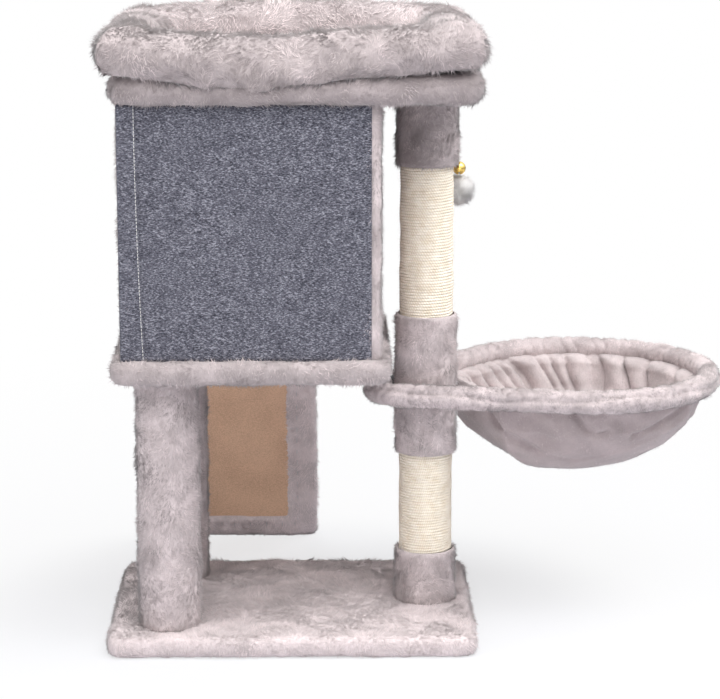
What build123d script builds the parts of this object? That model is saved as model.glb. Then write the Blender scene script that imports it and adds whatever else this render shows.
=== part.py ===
from build123d import *
import math
import os

# Cat tree: a plush base, two plush posts, a rope-wound post of two sections, a platform with a condo,
# a top platform with a bolster bed, a hammock that swivels on the post joint, a leaning scratch ramp
# and a hanging pompom. Millimetres. The origin is the centre of the base's underside, Z is up,
# X runs from the plush posts to the rope post and Y from the condo's felt back to the ramp.

# Base
base_width = 400.0
base_depth = 300.0
board_thickness = 15.0
base_plush = 3.5
base_corner = 18.0
base_edge = 8.0
base_fold = 38.0

# Heights: the middle platform's underside, the condo standing on it and the hammock joint below it
platform_level = 301.0
condo_height = 272.0
hammock_drop = 34.0

# Plush posts
plush_post_x = -134.0
plush_post_spacing = 184.0
plush_tube_radius = 27.0
tube_wall = 3.0
post_pile = 6.0

# Rope post
rope_post_x = 149.0
rope_post_y = 0.0
rope_tube_radius = 23.2
rope_diameter = 6.5
rope_gap = 0.45
rope_seat = 0.3
collar_wall = 1.9
lower_foot_collar = 60.0
lower_head_collar = 71.0
upper_foot_collar = 82.0
upper_head_collar = 81.0
collar_rim = 1.0
post_rim = 2.0

# Post ends and their fasteners
plug_thickness = 18.0
insert_radius = 6.0
insert_length = 15.0
insert_flange_radius = 8.5
insert_flange = 1.5
bolt_radius = 4.0
bolt_head_radius = 8.5
bolt_head = 3.0
bolt_grip = 14.0
hex_key = 5.0
hex_socket = 2.1
edge_break = 0.8
washer_radius = 11.0
washer_thickness = 1.2
hole_play = 0.5
thread_play = 0.05

# Middle platform
platform_width = 296.0
platform_depth = 300.0
platform_x = -42.0
platform_plush = 4.5
platform_corner = 18.0
platform_edge = 9.0

# Condo
condo_width = 274.0
condo_depth = 276.0
condo_x = -42.0
wall_board = 9.0
wall_plush = 4.0
wall_edge = 5.0
felt_thickness = 3.0
felt_reveal = 9.0
hem_width = 22.0
hem_thickness = 2.0
hem_edge = 1.6
door_width = 165.0
door_height = 190.0
door_sill = 26.0
door_x = -52.0
screw_radius = 2.0
screw_length = 44.0
screw_head_radius = 4.0
screw_head = 2.4
screw_inset = 55.0

# Top platform and bed
top_width = 390.0
top_depth = 300.0
top_x = 7.0
top_padding = 7.5
top_corner = 24.0
top_edge = 12.0
roll_width = 72.0
roll_rise = 61.0
left_overhang = 11.0
right_overhang = 2.0
depth_overhang = 11.0
near_roll_dip = 15.0
side_roll_dip = 10.0
far_roll_dip = 4.0
roll_draw_in = 0.4
roll_foot = 0.36
roll_waist = 0.42
roll_shoulder = 0.84
roll_stations = (0, 0.12, 0.3, 0.5, 0.7, 0.88, 1)
pad_gap = 1.0
pad_height = 18.0
pad_draw_in = 5.0
pad_levels = ((0, 5), (0.25, 1), (0.5, 0), (0.75, 3), (0.93, 12), (1, 30))

# Hammock
hammock_turn = 19.5
ring_distance = 190.0
ring_radius = 146.0
loop_end_offset = 14.0
loop_end_radius = 44.0
wire_radius = 3.0
rim_radius = 12.0
wire_joint = 1.0
rim_opening = 18.0
rim_opening_place = 14.0
ferrule_radius = 5.2
ferrule_length = 15.0
plate_width = 26.0
plate_thickness = 3.0
swivel_gap = 0.3
pivot_play = 0.08
bowl_depth = 99.0
bowl_cloth = 4.0
bowl_folds = 14
bowl_fold_rise = 5.0
bowl_hem = 46.0
bowl_lowest = 166.0
bowl_levels = ((0, 1.0, 0.3), (0.3, 0.92, 0.6), (0.58, 0.76, 0.9), (0.82, 0.54, 1.0), (1, 0.28, 0.6))

# Ramp
ramp_width = 200.0
ramp_x = -75.0
ramp_reach = 182.0
ramp_board = 9.0
ramp_plush = 3.5
ramp_corner = 8.0
ramp_edge = 6.0
ramp_fold = 32.0
ramp_stand_off = 2.0
mat_margin = 28.0
mat_thickness = 4.0
strap_thickness = 2.0
strap_width = 18.0
strap_leg = 34.0
strap_screw_step = 16.0
strap_screw_radius = 1.5
strap_screw_head_radius = 3.2
strap_screw_head = 1.6
strap_screw_length = 9.0

# Hanging toy
toy_x = 188.0
toy_y = 80.0
toy_wire = 0.9
toy_eye_radius = 4.0
toy_shank = 16.0
toy_string_diameter = 1.6
toy_string_length = 81.5
toy_loop_radius = 2.3
toy_knot_radius = 1.2
bell_radius = 7.5
bell_wall = 0.8
bell_slot = 1.6
bell_hook_wire = 0.63
pellet_radius = 2.0
pompom_radius = 20.0
toy_clearance = 0.3

os.makedirs("parts", exist_ok=True)
UPRIGHT = (Align.CENTER, Align.CENTER, Align.MIN)


def save(name, *solids):
    """Write one named piece, or a group of like pieces, as a STEP file."""
    shape = solids[0] if len(solids) == 1 else Compound(children=list(solids))
    shape.label = name
    export_step(shape, f"parts/{name}.step")


def rod(radius, bottom, top, x=0.0, y=0.0):
    """An upright round bar between two heights."""
    return Pos(x, y, bottom) * Cylinder(radius, top - bottom, align=UPRIGHT)


def slab(width, depth, height, corner, edge):
    """A cushioned panel: rounded in plan, with its upper and lower edges rolled over."""
    panel = extrude(RectangleRounded(width, depth, corner), height)
    rims = panel.edges().group_by(Axis.Z)
    return fillet(rims[0] + rims[-1], edge)


def wrapped_board(width, depth, thickness, plush, corner, edge, fold=None):
    """A board and the plush round it; with a fold the cover is open below, inside the turned-under margin."""
    outline = RectangleRounded(width - 2 * plush, depth - 2 * plush, corner - plush)
    board = Pos(0, 0, plush) * extrude(outline, thickness)
    cover = slab(width, depth, thickness + 2 * plush, corner, edge) - board
    if fold:
        cover -= Box(width - 2 * fold, depth - 2 * fold, plush, align=UPRIGHT)
    return board, cover


def ring_sleeve(outer, inner, bottom, top, x, y, rim):
    """A plush tube drawn over a post, soft at both rims."""
    sleeve = rod(outer, bottom, top)
    rims = sleeve.edges().group_by(Axis.Z)
    sleeve = fillet(rims[0] + rims[-1], rim)
    return Pos(x, y, 0) * (sleeve - rod(inner, bottom, top))


def flat_head_bolt(length):
    """A furniture bolt, head down at the origin and shank up, with a hexagon socket in its head."""
    head = Cylinder(bolt_head_radius, bolt_head, align=UPRIGHT)
    head = chamfer(head.edges().group_by(Axis.Z)[0], edge_break)
    socket = extrude(RegularPolygon(hex_key / 2, 6, major_radius=False), hex_socket)
    return head + rod(bolt_radius, bolt_head, bolt_head + length) - socket


def washer():
    """A flat washer standing on the origin."""
    return rod(washer_radius, 0, washer_thickness) - rod(bolt_radius + hole_play, 0, washer_thickness)


def threaded_insert():
    """A flanged sleeve nut: its flange on the origin, its barrel below."""
    body = rod(insert_flange_radius, -insert_flange, 0) + rod(insert_radius, -insert_length, -insert_flange)
    return body - rod(bolt_radius + thread_play, -insert_length, 0)


def end_plug(radius):
    """A wooden disc that closes a tube's end, bored and counterbored for the insert; its outer face is up."""
    disc = rod(radius, -plug_thickness, 0) - rod(insert_radius, -plug_thickness, 0)
    return disc - rod(insert_flange_radius, -insert_flange, 0)


def wood_screw(radius, length, head_radius, head):
    """A countersunk screw, head down at the origin and pointing up."""
    tip = radius * 1.5
    outline = Polyline(
        (0, 0), (head_radius, 0), (radius, head), (radius, length - tip), (0, length), close=True
    )
    return revolve(Plane.XZ * make_face(outline), Axis.Z)


def flipped(shape):
    """The shape turned over about the X axis, so that what pointed up points down."""
    return Rot(180, 0, 0) * shape


# Levels that follow from the driving heights
base_top = board_thickness + 2 * base_plush
platform_top = platform_level + board_thickness + 2 * platform_plush
top_level = platform_top + condo_height
hammock_level = platform_level - hammock_drop
top_top = top_level + board_thickness + 2 * top_padding
joint_low = hammock_level - plate_thickness / 2 - swivel_gap
joint_high = hammock_level + plate_thickness / 2 + swivel_gap
plush_posts = [(plush_post_x, side * plush_post_spacing / 2) for side in (-1, 1)]
rope_post = (rope_post_x, rope_post_y)


def base():
    """Base board and its plush, with the holes and sunk seats of the three post bolts."""
    board, cover = wrapped_board(
        base_width, base_depth, board_thickness, base_plush, base_corner, base_edge, base_fold
    )
    seat = base_plush + washer_thickness + bolt_head
    bolts, washers = [], []
    for x, y in [*plush_posts, rope_post]:
        through = rod(bolt_radius + hole_play, 0, base_top, x, y)
        sunk = rod(washer_radius + hole_play, 0, seat, x, y)
        board -= through + sunk
        cover -= through
        washers.append(Pos(x, y, seat - washer_thickness) * washer())
        shank = base_top - seat + washer_thickness + bolt_grip
        bolts.append(Pos(x, y, seat - washer_thickness - bolt_head) * flat_head_bolt(shank))
    save("base_board", board)
    save("base_plush", cover)
    save("base_bolts", *bolts)
    save("base_washers", *washers)


def post_ends(places, radius):
    """Plugs and inserts for tube ends; a place is (x, y, height, faces up)."""
    plugs, inserts = [], []
    for x, y, level, up in places:
        for group, piece in ((plugs, end_plug(radius)), (inserts, threaded_insert())):
            group.append(Pos(x, y, level) * (piece if up else flipped(piece)))
    return plugs, inserts


def posts():
    """Plush posts, the rope post's two sections, and what closes and joins their ends."""
    bore = plush_tube_radius - tube_wall
    for name, (x, y) in zip(("near", "far"), plush_posts):
        tube = rod(plush_tube_radius, base_top, platform_level) - rod(bore, base_top, platform_level)
        save(f"{name}_plush_post_tube", Pos(x, y, 0) * tube)
        outer = plush_tube_radius + post_pile
        sleeve = ring_sleeve(outer, plush_tube_radius, base_top, platform_level, x, y, post_rim)
        save(f"{name}_plush_post_sleeve", sleeve)
    ends = ((base_top, False), (platform_level, True))
    plush_ends = [(x, y, level, up) for x, y in plush_posts for level, up in ends]
    plugs, inserts = post_ends(plush_ends, bore)
    save("plush_post_plugs", *plugs)

    ends = ((base_top, False), (joint_low, True), (joint_high, False), (top_level, True))
    rope_ends = [(*rope_post, level, up) for level, up in ends]
    plugs, more_inserts = post_ends(rope_ends, rope_tube_radius - tube_wall)
    save("rope_post_plugs", *plugs)
    save("threaded_inserts", *inserts, *more_inserts)
    stud = rod(bolt_radius, joint_low - bolt_grip, joint_high + bolt_grip, *rope_post)
    save("joining_stud", chamfer(stud.edges().filter_by(GeomType.CIRCLE), edge_break))

    rope_section("lower_post", base_top, joint_low, lower_foot_collar, lower_head_collar)
    rope_section("upper_post", joint_high, top_level, upper_foot_collar, upper_head_collar)


def biarc(start, start_way, end, end_way):
    """Two arcs that leave start along start_way, meet smoothly and reach end along end_way."""
    reach = end - start
    along = reach.dot(start_way + end_way)
    spread = 2 * (1 - start_way.dot(end_way))
    length = (math.sqrt(along**2 + spread * reach.dot(reach)) - along) / spread
    first, second = start + start_way * length, end - end_way * length
    joint = (first + second) * 0.5
    return [
        Edge.make_tangent_arc(start, start_way, joint),
        Edge.make_tangent_arc(joint, (second - first).normalized(), end),
    ]


def winding(radius, bottom, turns, pitch):
    """The rope's line round a post: a tail up from the lower collar, half turns, a tail into the upper one."""
    def place(angle):
        return Vector(
            radius * math.cos(angle), radius * math.sin(angle), bottom + pitch * angle / math.tau
        )

    def way(angle):
        return Vector(
            -radius * math.sin(angle), radius * math.cos(angle), pitch / math.tau
        ).normalized()

    up = Vector(0, 0, 1)
    angles = [math.pi * k for k in range(2 * turns + 1)]
    first, last = place(angles[0]), place(angles[-1])
    bend = rope_diameter * math.tan(math.radians(way(0).get_angle(up)) / 2)
    tail_in = first - (way(angles[0]) + up) * bend
    tail_out = last + (way(angles[-1]) + up) * bend
    line = [Edge.make_line(tail_in - up * rope_diameter, tail_in)]
    line.append(Edge.make_tangent_arc(tail_in, up, first))
    for a, b in zip(angles, angles[1:]):
        line += biarc(place(a), way(a), place(b), way(b))
    line.append(Edge.make_tangent_arc(last, way(angles[-1]), tail_out))
    line.append(Edge.make_line(tail_out, tail_out + up * rope_diameter))
    return line


def least_gap(line, thickness):
    """The least distance between two strands of the line, less the thickness, over points set along it."""
    steps, edges_near, far_along = 12, 10, 3 * thickness
    points = [edge @ (k / steps) for edge in line for k in range(steps)]
    travelled = [0.0]
    for a, b in zip(points, points[1:]):
        travelled.append(travelled[-1] + (b - a).length)
    gaps = []
    for i, point in enumerate(points):
        for j in range(i + 1, min(i + steps * edges_near, len(points))):
            if travelled[j] - travelled[i] > far_along:
                gaps.append((points[j] - point).length)
    return min(gaps) - thickness


def rope_section(name, bottom, top, foot, head):
    """One section of the rope post: its tube, a rope winding and a plush collar over each end of it."""
    low, high = bottom + foot, top - head
    wound = high - low + rope_diameter
    turns = int(wound / (rope_diameter + rope_gap))
    wind_radius = rope_tube_radius + rope_seat + rope_diameter / 2
    line = winding(wind_radius, low - rope_diameter / 2, turns, wound / turns)
    tail_low, tail_high = (line[0] @ 0).Z, (line[-1] @ 1).Z
    cross = Plane(origin=line[0] @ 0, z_dir=(0, 0, 1)) * Circle(rope_diameter / 2)
    rope = sweep(cross, path=Wire(line))
    fullness = rope.volume / (cross.area * Wire(line).length)
    print(name, "winding:", turns, "turns; least gap to itself", round(least_gap(line, rope_diameter), 3),
          "mm; volume over section times length", round(fullness, 4))

    tube = rod(rope_tube_radius, bottom, top) - rod(rope_tube_radius - tube_wall, bottom, top)
    save(f"{name}_tube", Pos(*rope_post) * tube)
    save(f"{name}_rope", Pos(*rope_post) * rope)
    pocket = math.hypot(wind_radius, rope_diameter) + rope_diameter / 2 + rope_seat
    for end, span, lapped in (
        ("foot", (bottom, low), (tail_low, low)), ("head", (high, top), (high, tail_high))
    ):
        collar = ring_sleeve(pocket + collar_wall, rope_tube_radius, *span, 0, 0, collar_rim)
        save(f"{name}_{end}_collar", Pos(*rope_post) * (collar - rod(pocket, *lapped)))


def platform():
    """Middle platform on the plush posts, with its bolts sunk in the plush inside the condo."""
    board, cover = wrapped_board(
        platform_width, platform_depth, board_thickness, platform_plush, platform_corner, platform_edge
    )
    board, cover = Pos(platform_x, 0, platform_level) * board, Pos(platform_x, 0, platform_level) * cover
    seat = platform_level + platform_plush + board_thickness
    bolts, washers = [], []
    for x, y in plush_posts:
        through = rod(bolt_radius + hole_play, platform_level, platform_top, x, y)
        board -= through
        cover -= through + rod(washer_radius + hole_play, seat, platform_top, x, y)
        washers.append(Pos(x, y, seat) * washer())
        shank = seat + washer_thickness - platform_level + bolt_grip
        top = seat + washer_thickness + bolt_head
        bolts.append(Pos(x, y, top) * flipped(flat_head_bolt(shank)))
    for x, y in wall_screw_places():
        hole = rod(screw_radius + hole_play, platform_level, platform_top, x, y)
        sunk = rod(screw_head_radius + hole_play, platform_level, platform_level + platform_plush, x, y)
        board -= hole
        cover -= hole + sunk
    for x, y in strap_screw_places():
        tip = platform_level + strap_screw_length
        hole = rod(strap_screw_radius + thread_play, platform_level, tip, x, y)
        board -= hole
        cover -= hole
    save("platform_board", board)
    save("platform_plush", cover)
    save("platform_bolts", *bolts)
    save("platform_washers", *washers)


def wall_thickness():
    """A condo wall: its board with plush on both faces."""
    return wall_board + 2 * wall_plush


def side_wall_x():
    """The middles of the left and right condo walls."""
    half = (condo_width - wall_thickness()) / 2
    return condo_x - half, condo_x + half


def front_wall_y():
    """The middle of the condo's front wall."""
    return (condo_depth - wall_thickness()) / 2


def jamb_middles():
    """The middles of the front wall's two stretches beside the door."""
    left, right = side_wall_x()
    half_wall, half_door = wall_thickness() / 2, door_width / 2
    return (left + half_wall + door_x - half_door) / 2, (right - half_wall + door_x + half_door) / 2


def wall_screw_places():
    """Where screws stand in the walls' edges: two to each wall."""
    near = felt_thickness - condo_depth / 2 + screw_inset
    far = condo_depth / 2 - screw_inset
    places = [(x, y) for x in side_wall_x() for y in (near, far)]
    return places + [(x, front_wall_y()) for x in jamb_middles()]


def condo_wall(length, height):
    """A wall standing on the origin along X: board and plush, both centred on it."""
    thick = wall_thickness()
    board = Pos(0, 0, wall_plush) * Box(
        length - 2 * wall_plush, wall_board, height - 2 * wall_plush, align=UPRIGHT
    )
    cover = Box(length, thick, height, align=UPRIGHT)
    cover = fillet(cover.edges().filter_by(Axis.Z), wall_edge) - board
    return board, cover


def door(width, height, sill, thick):
    """An arched doorway standing over the origin and cut through the wall's thickness."""
    arch = width / 2
    outline = Pos(0, sill + (height - arch) / 2) * Rectangle(width, height - arch)
    outline += Pos(0, sill + height - arch) * Circle(arch)
    return extrude(Plane.XZ * outline, thick, both=True)


def condo():
    """Two side walls, a front wall with an arched door, the felt back and the screws that hold the walls."""
    depth = condo_depth - felt_thickness
    left, right = side_wall_x()
    side_y = felt_thickness / 2
    board, cover = condo_wall(depth, condo_height)
    walls = {}
    for name, x in (("left", left), ("right", right)):
        stand = Pos(x, side_y, platform_top) * Rot(0, 0, 90)
        walls[name] = [stand * board, stand * cover]
    span = right - left - wall_thickness()
    board, cover = condo_wall(span, condo_height)
    at_door = Pos(door_x - condo_x, 0, 0)
    lined = (door_width + 2 * wall_plush, door_height + 2 * wall_plush, door_sill - wall_plush)
    board -= at_door * door(*lined, wall_board)
    cover += at_door * door(*lined, wall_board / 2)
    cover -= at_door * door(door_width, door_height, door_sill, wall_thickness())
    stand = Pos(condo_x, front_wall_y(), platform_top)
    walls["front"] = [stand * board, stand * cover]

    lower, upper = [], []
    for x, y in wall_screw_places():
        drill = screw_radius + thread_play
        bottom = platform_level + platform_plush - screw_head
        top = top_top - top_padding + screw_head
        hole = rod(drill, platform_top, bottom + screw_length, x, y)
        hole += rod(drill, top - screw_length, top_level, x, y)
        for pieces in walls.values():
            pieces[:] = [piece - hole if overlaps(piece, x, y) else piece for piece in pieces]
        screw = wood_screw(screw_radius, screw_length, screw_head_radius, screw_head)
        lower.append(Pos(x, y, bottom) * screw)
        upper.append(Pos(x, y, top) * flipped(screw))
    for name, (board, cover) in walls.items():
        save(f"condo_{name}_board", board)
        save(f"condo_{name}_plush", cover)
    save("condo_lower_screws", *lower)
    save("condo_upper_screws", *upper)

    felt_left = condo_x - condo_width / 2
    felt_right = condo_x + condo_width / 2 - felt_reveal
    back = -condo_depth / 2
    felt = Pos((felt_left + felt_right) / 2, back, platform_top) * Box(
        felt_right - felt_left, felt_thickness, condo_height, align=(Align.CENTER, Align.MIN, Align.MIN)
    )
    hem = Pos(felt_left, back, platform_top) * Box(
        hem_width, hem_thickness, condo_height, align=(Align.MIN, Align.MAX, Align.MIN)
    )
    felt += hem
    hem_edges = felt.edges().filter_by(Axis.Z).sort_by(Axis.Y)[:2]
    save("condo_back_felt", fillet(hem_edges, hem_edge))


def overlaps(piece, x, y):
    """Whether an upright line at x, y passes through the piece's box."""
    box = piece.bounding_box()
    return box.min.X < x < box.max.X and box.min.Y < y < box.max.Y


def top_platform():
    """Top platform over the condo and the rope post, with its padded edge."""
    board, cover = wrapped_board(
        top_width, top_depth, board_thickness, top_padding, top_corner, top_edge
    )
    board, cover = Pos(top_x, 0, top_level) * board, Pos(top_x, 0, top_level) * cover
    seat = top_top - top_padding
    through = rod(bolt_radius + hole_play, top_level, top_top, *rope_post)
    board -= through
    cover -= through + rod(washer_radius + hole_play, seat, top_top, *rope_post)
    for x, y in wall_screw_places():
        hole = rod(screw_radius + hole_play, top_level, top_top, x, y)
        board -= hole
        cover -= hole + rod(screw_head_radius + hole_play, seat, top_top, x, y)
    shank_hole = rod(toy_wire + thread_play, top_level, top_level + toy_shank, toy_x, toy_y)
    save("top_board", board - shank_hole)
    save("top_plush", cover - shank_hole)
    save("top_washer", Pos(*rope_post, seat) * washer())
    shank = seat + washer_thickness - top_level + bolt_grip
    head_top = seat + washer_thickness + bolt_head
    save("top_bolt", Pos(*rope_post, head_top) * flipped(flat_head_bolt(shank)))


def roll_section(plane, width, rise):
    """A stuffed roll cut across: flat below, full at the sides and crowned on top."""
    foot, shoulder, waist = roll_foot * width, roll_shoulder * rise, roll_waist * rise
    outline = [
        Line((-foot, 0), (foot, 0)),
        ThreePointArc((foot, 0), (width / 2, waist), (foot, shoulder)),
        ThreePointArc((foot, shoulder), (0, rise), (-foot, shoulder)),
        ThreePointArc((-foot, shoulder), (-width / 2, waist), (-foot, 0)),
    ]
    return plane * make_face(outline)


def roll(start, end, outward, dip):
    """One side of the bolster between two mitred corners, lowest at its middle and drawn in there."""
    start, end, outward = Vector(*start, top_top), Vector(*end, top_top), Vector(*outward)
    along = (end - start).normalized()
    sections = []
    for share in roll_stations:
        sag = math.sin(math.pi * share)
        spot = start + (end - start) * share
        width = roll_width - roll_draw_in * dip * sag
        if share in (0, 1):
            diagonal = (outward - along if share == 0 else outward + along).normalized()
            plane = Plane(spot, x_dir=diagonal, z_dir=diagonal.cross(Vector(0, 0, 1)))
            sections.append(roll_section(plane, width * math.sqrt(2), roll_rise))
        else:
            plane = Plane(spot, x_dir=outward, z_dir=outward.cross(Vector(0, 0, 1)))
            sections.append(roll_section(plane, width, roll_rise - dip * sag))
    return loft(sections, ruled=True)


def bed():
    """The bolster round the bed, mitred at its corners, and the pad inside it."""
    bed_x = top_x + (right_overhang - left_overhang) / 2
    half_x = (top_width + left_overhang + right_overhang - roll_width) / 2
    half_y = top_depth / 2 + depth_overhang - roll_width / 2
    near_left, near_right = (bed_x - half_x, -half_y), (bed_x + half_x, -half_y)
    far_left, far_right = (bed_x - half_x, half_y), (bed_x + half_x, half_y)
    near_and_right = roll(near_left, near_right, (0, -1, 0), near_roll_dip)
    near_and_right += roll(near_right, far_right, (1, 0, 0), side_roll_dip)
    far_and_left = roll(far_right, far_left, (0, 1, 0), far_roll_dip)
    far_and_left += roll(far_left, near_left, (-1, 0, 0), side_roll_dip)
    save("bed_bolster", near_and_right + far_and_left)

    pad_x, pad_y = half_x - roll_width / 2 - pad_gap, half_y - roll_width / 2 - pad_gap
    outlines = []
    for share, inset in pad_levels:
        level = top_top + share * pad_height
        outlines.append(Pos(bed_x, 0, level) * pad_outline(pad_x - inset, pad_y - inset))
    save("bed_pad", loft(outlines, ruled=True))


def pad_outline(half_x, half_y):
    """A pad's plan: corners held, sides drawn in between them."""
    return make_face([
        ThreePointArc((-half_x, -half_y), (0, pad_draw_in - half_y), (half_x, -half_y)),
        ThreePointArc((half_x, -half_y), (half_x - pad_draw_in, 0), (half_x, half_y)),
        ThreePointArc((half_x, half_y), (0, half_y - pad_draw_in), (-half_x, half_y)),
        ThreePointArc((-half_x, half_y), (pad_draw_in - half_x, 0), (-half_x, -half_y)),
    ])


def flare():
    """The angle at which the loop's two straight sides open from the post towards the bowl, in degrees."""
    return math.degrees(math.asin((ring_radius - loop_end_radius) / (ring_distance + loop_end_offset)))


def loop_line(opening):
    """The hammock frame's pear-shaped line, the post at the origin, open for a short stretch of one side."""
    tilt = flare()
    end_arc = CenterArc((-loop_end_offset, 0), loop_end_radius, 270 - tilt, 2 * tilt - 180)
    ring_arc = CenterArc((ring_distance, 0), ring_radius, 90 + tilt, -180 - 2 * tilt)
    start = rim_opening_spot(rim_opening_place + opening / 2)
    end = rim_opening_spot(rim_opening_place - opening / 2)
    return [
        Line(start, ring_arc @ 0),
        ring_arc,
        Line(ring_arc @ 1, end_arc @ 0),
        end_arc,
        Line(end_arc @ 1, end),
    ]


def rim_opening_spot(along):
    """A point on the side that runs back from the loop's small end, measured from the end of its curve."""
    tilt = math.radians(flare())
    return (
        along * math.cos(tilt) - loop_end_radius * math.sin(tilt) - loop_end_offset,
        along * math.sin(tilt) + loop_end_radius * math.cos(tilt),
    )


def tube_along(line, outer, inner=0.0):
    """A round tube, or a bar where it has no bore, along a line in the plan."""
    path = Wire([edge for piece in line for edge in piece.edges()])
    section = Circle(outer) - Circle(inner) if inner else Circle(outer)
    return sweep(Plane(origin=path @ 0, z_dir=path % 0) * section, path=path)


def bowl_reach(angle, inset):
    """How far the bowl's edge lies from the ring's centre: ring, the loop's straight sides, then the hem."""
    reach = ring_radius - inset
    beyond = abs(math.remainder(angle, math.tau)) - math.radians(90 + flare())
    if beyond > 0:
        hem = ring_distance - bowl_hem - inset
        reach = min(reach / math.cos(beyond), hem / -math.cos(angle))
    return reach


def bowl_outline(level, share, inset, fold):
    """The bowl cut level: folds as arcs between points round its edge, gathered towards its lowest point."""
    points, middles = [], []
    for k in range(2 * bowl_folds):
        angle = math.tau * (k + 0.5) / (2 * bowl_folds)
        out = bowl_reach(angle, inset) * share + (fold if k % 2 else 0)
        centre = ring_distance + (bowl_lowest - ring_distance) * (1 - share)
        spot = (centre + out * math.cos(angle), out * math.sin(angle))
        (middles if k % 2 else points).append(spot)
    arcs = [ThreePointArc(*fold) for fold in zip(points, middles, points[1:] + points[:1])]
    return Pos(0, 0, level) * make_face(arcs)


def hammock():
    """The swivelling hammock: wire loop, clamp plate, ferrule, plush rim and the bowl hanging in it."""
    turn = Pos(rope_post_x, rope_post_y, hammock_level) * Rot(0, 0, hammock_turn)
    wire = tube_along(loop_line(wire_joint), wire_radius)
    ferrule_line = Line(
        rim_opening_spot(rim_opening_place - ferrule_length / 2),
        rim_opening_spot(rim_opening_place + ferrule_length / 2),
    )
    ferrule = tube_along([ferrule_line], ferrule_radius, wire_radius + thread_play)
    plate = Box(plate_width, 4 * loop_end_radius, plate_thickness)
    inside = Pos(0, 0, -plate_thickness) * extrude(loop_face(), 2 * plate_thickness)
    plate = plate & inside
    plate -= rod(bolt_radius + pivot_play, -plate_thickness, plate_thickness)
    plate -= tube_along([ferrule_line], ferrule_radius + rope_seat)
    rim = tube_along(loop_line(rim_opening), rim_radius, wire_radius + rope_seat)
    rim -= Box(plate_width + 2 * rope_seat, 4 * loop_end_radius, plate_thickness + 2 * rope_seat)
    save("hammock_wire", turn * (wire - plate))
    save("hammock_plate", turn * plate)
    save("hammock_ferrule", turn * ferrule)
    save("hammock_rim", turn * rim)

    under_rim = rim_radius + rope_seat
    drop = bowl_depth - under_rim
    outer, inner = [], []
    for depth, share, swell in bowl_levels:
        fold = swell * bowl_fold_rise
        over = bowl_cloth if depth == 0 else 0
        outer.append(bowl_outline(-under_rim - drop * depth, share, bowl_fold_rise, fold))
        level = over - under_rim - (drop - bowl_cloth) * depth
        inner.append(bowl_outline(level, share, bowl_fold_rise + bowl_cloth, fold))
    save("hammock_bowl", turn * (loft(outer, ruled=True) - loft(inner, ruled=True)))


def loop_face():
    """The area inside the hammock frame's wire."""
    tilt = flare()
    inner_end, inner_ring = loop_end_radius - wire_radius, ring_radius - wire_radius
    end_arc = CenterArc((-loop_end_offset, 0), inner_end, 90 + tilt, 180 - 2 * tilt)
    ring_arc = CenterArc((ring_distance, 0), inner_ring, -90 - tilt, 180 + 2 * tilt)
    return make_face([end_arc, Line(end_arc @ 1, ring_arc @ 0), ring_arc, Line(ring_arc @ 1, end_arc @ 0)])


def ramp_slope():
    """The ramp's angle to the floor and its length, from the platform's edge and the foot's reach."""
    rise = platform_level + platform_plush + board_thickness / 2
    run = ramp_reach - ramp_stand_off
    return math.atan2(rise, run), math.hypot(rise, run)


def ramp_strap_x():
    """The middles of the two straps, on the plush margins along the ramp's sides."""
    offset = ramp_width / 2 - ramp_fold / 2
    return ramp_x - offset, ramp_x + offset


def ramp_settle():
    """How far the rolled edge lets the ramp's foot down to the floor."""
    slope, _ = ramp_slope()
    return ramp_edge * (math.sin(slope) + math.cos(slope) - 1)


def strap_corner_y():
    """Where the ramp's underside meets the plane of the platform's underside."""
    slope, _ = ramp_slope()
    return platform_depth / 2 + ramp_reach - (platform_level + ramp_settle()) / math.tan(slope)


def strap_screw_steps():
    """How far from a strap leg's free end its two screws stand."""
    return strap_screw_step / 2, 1.5 * strap_screw_step - strap_screw_head_radius


def strap_screw_places():
    """Screws that hold the straps to the platform."""
    reach = strap_corner_y() - strap_leg
    return [(x, reach + along) for x in ramp_strap_x() for along in strap_screw_steps()]


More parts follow.
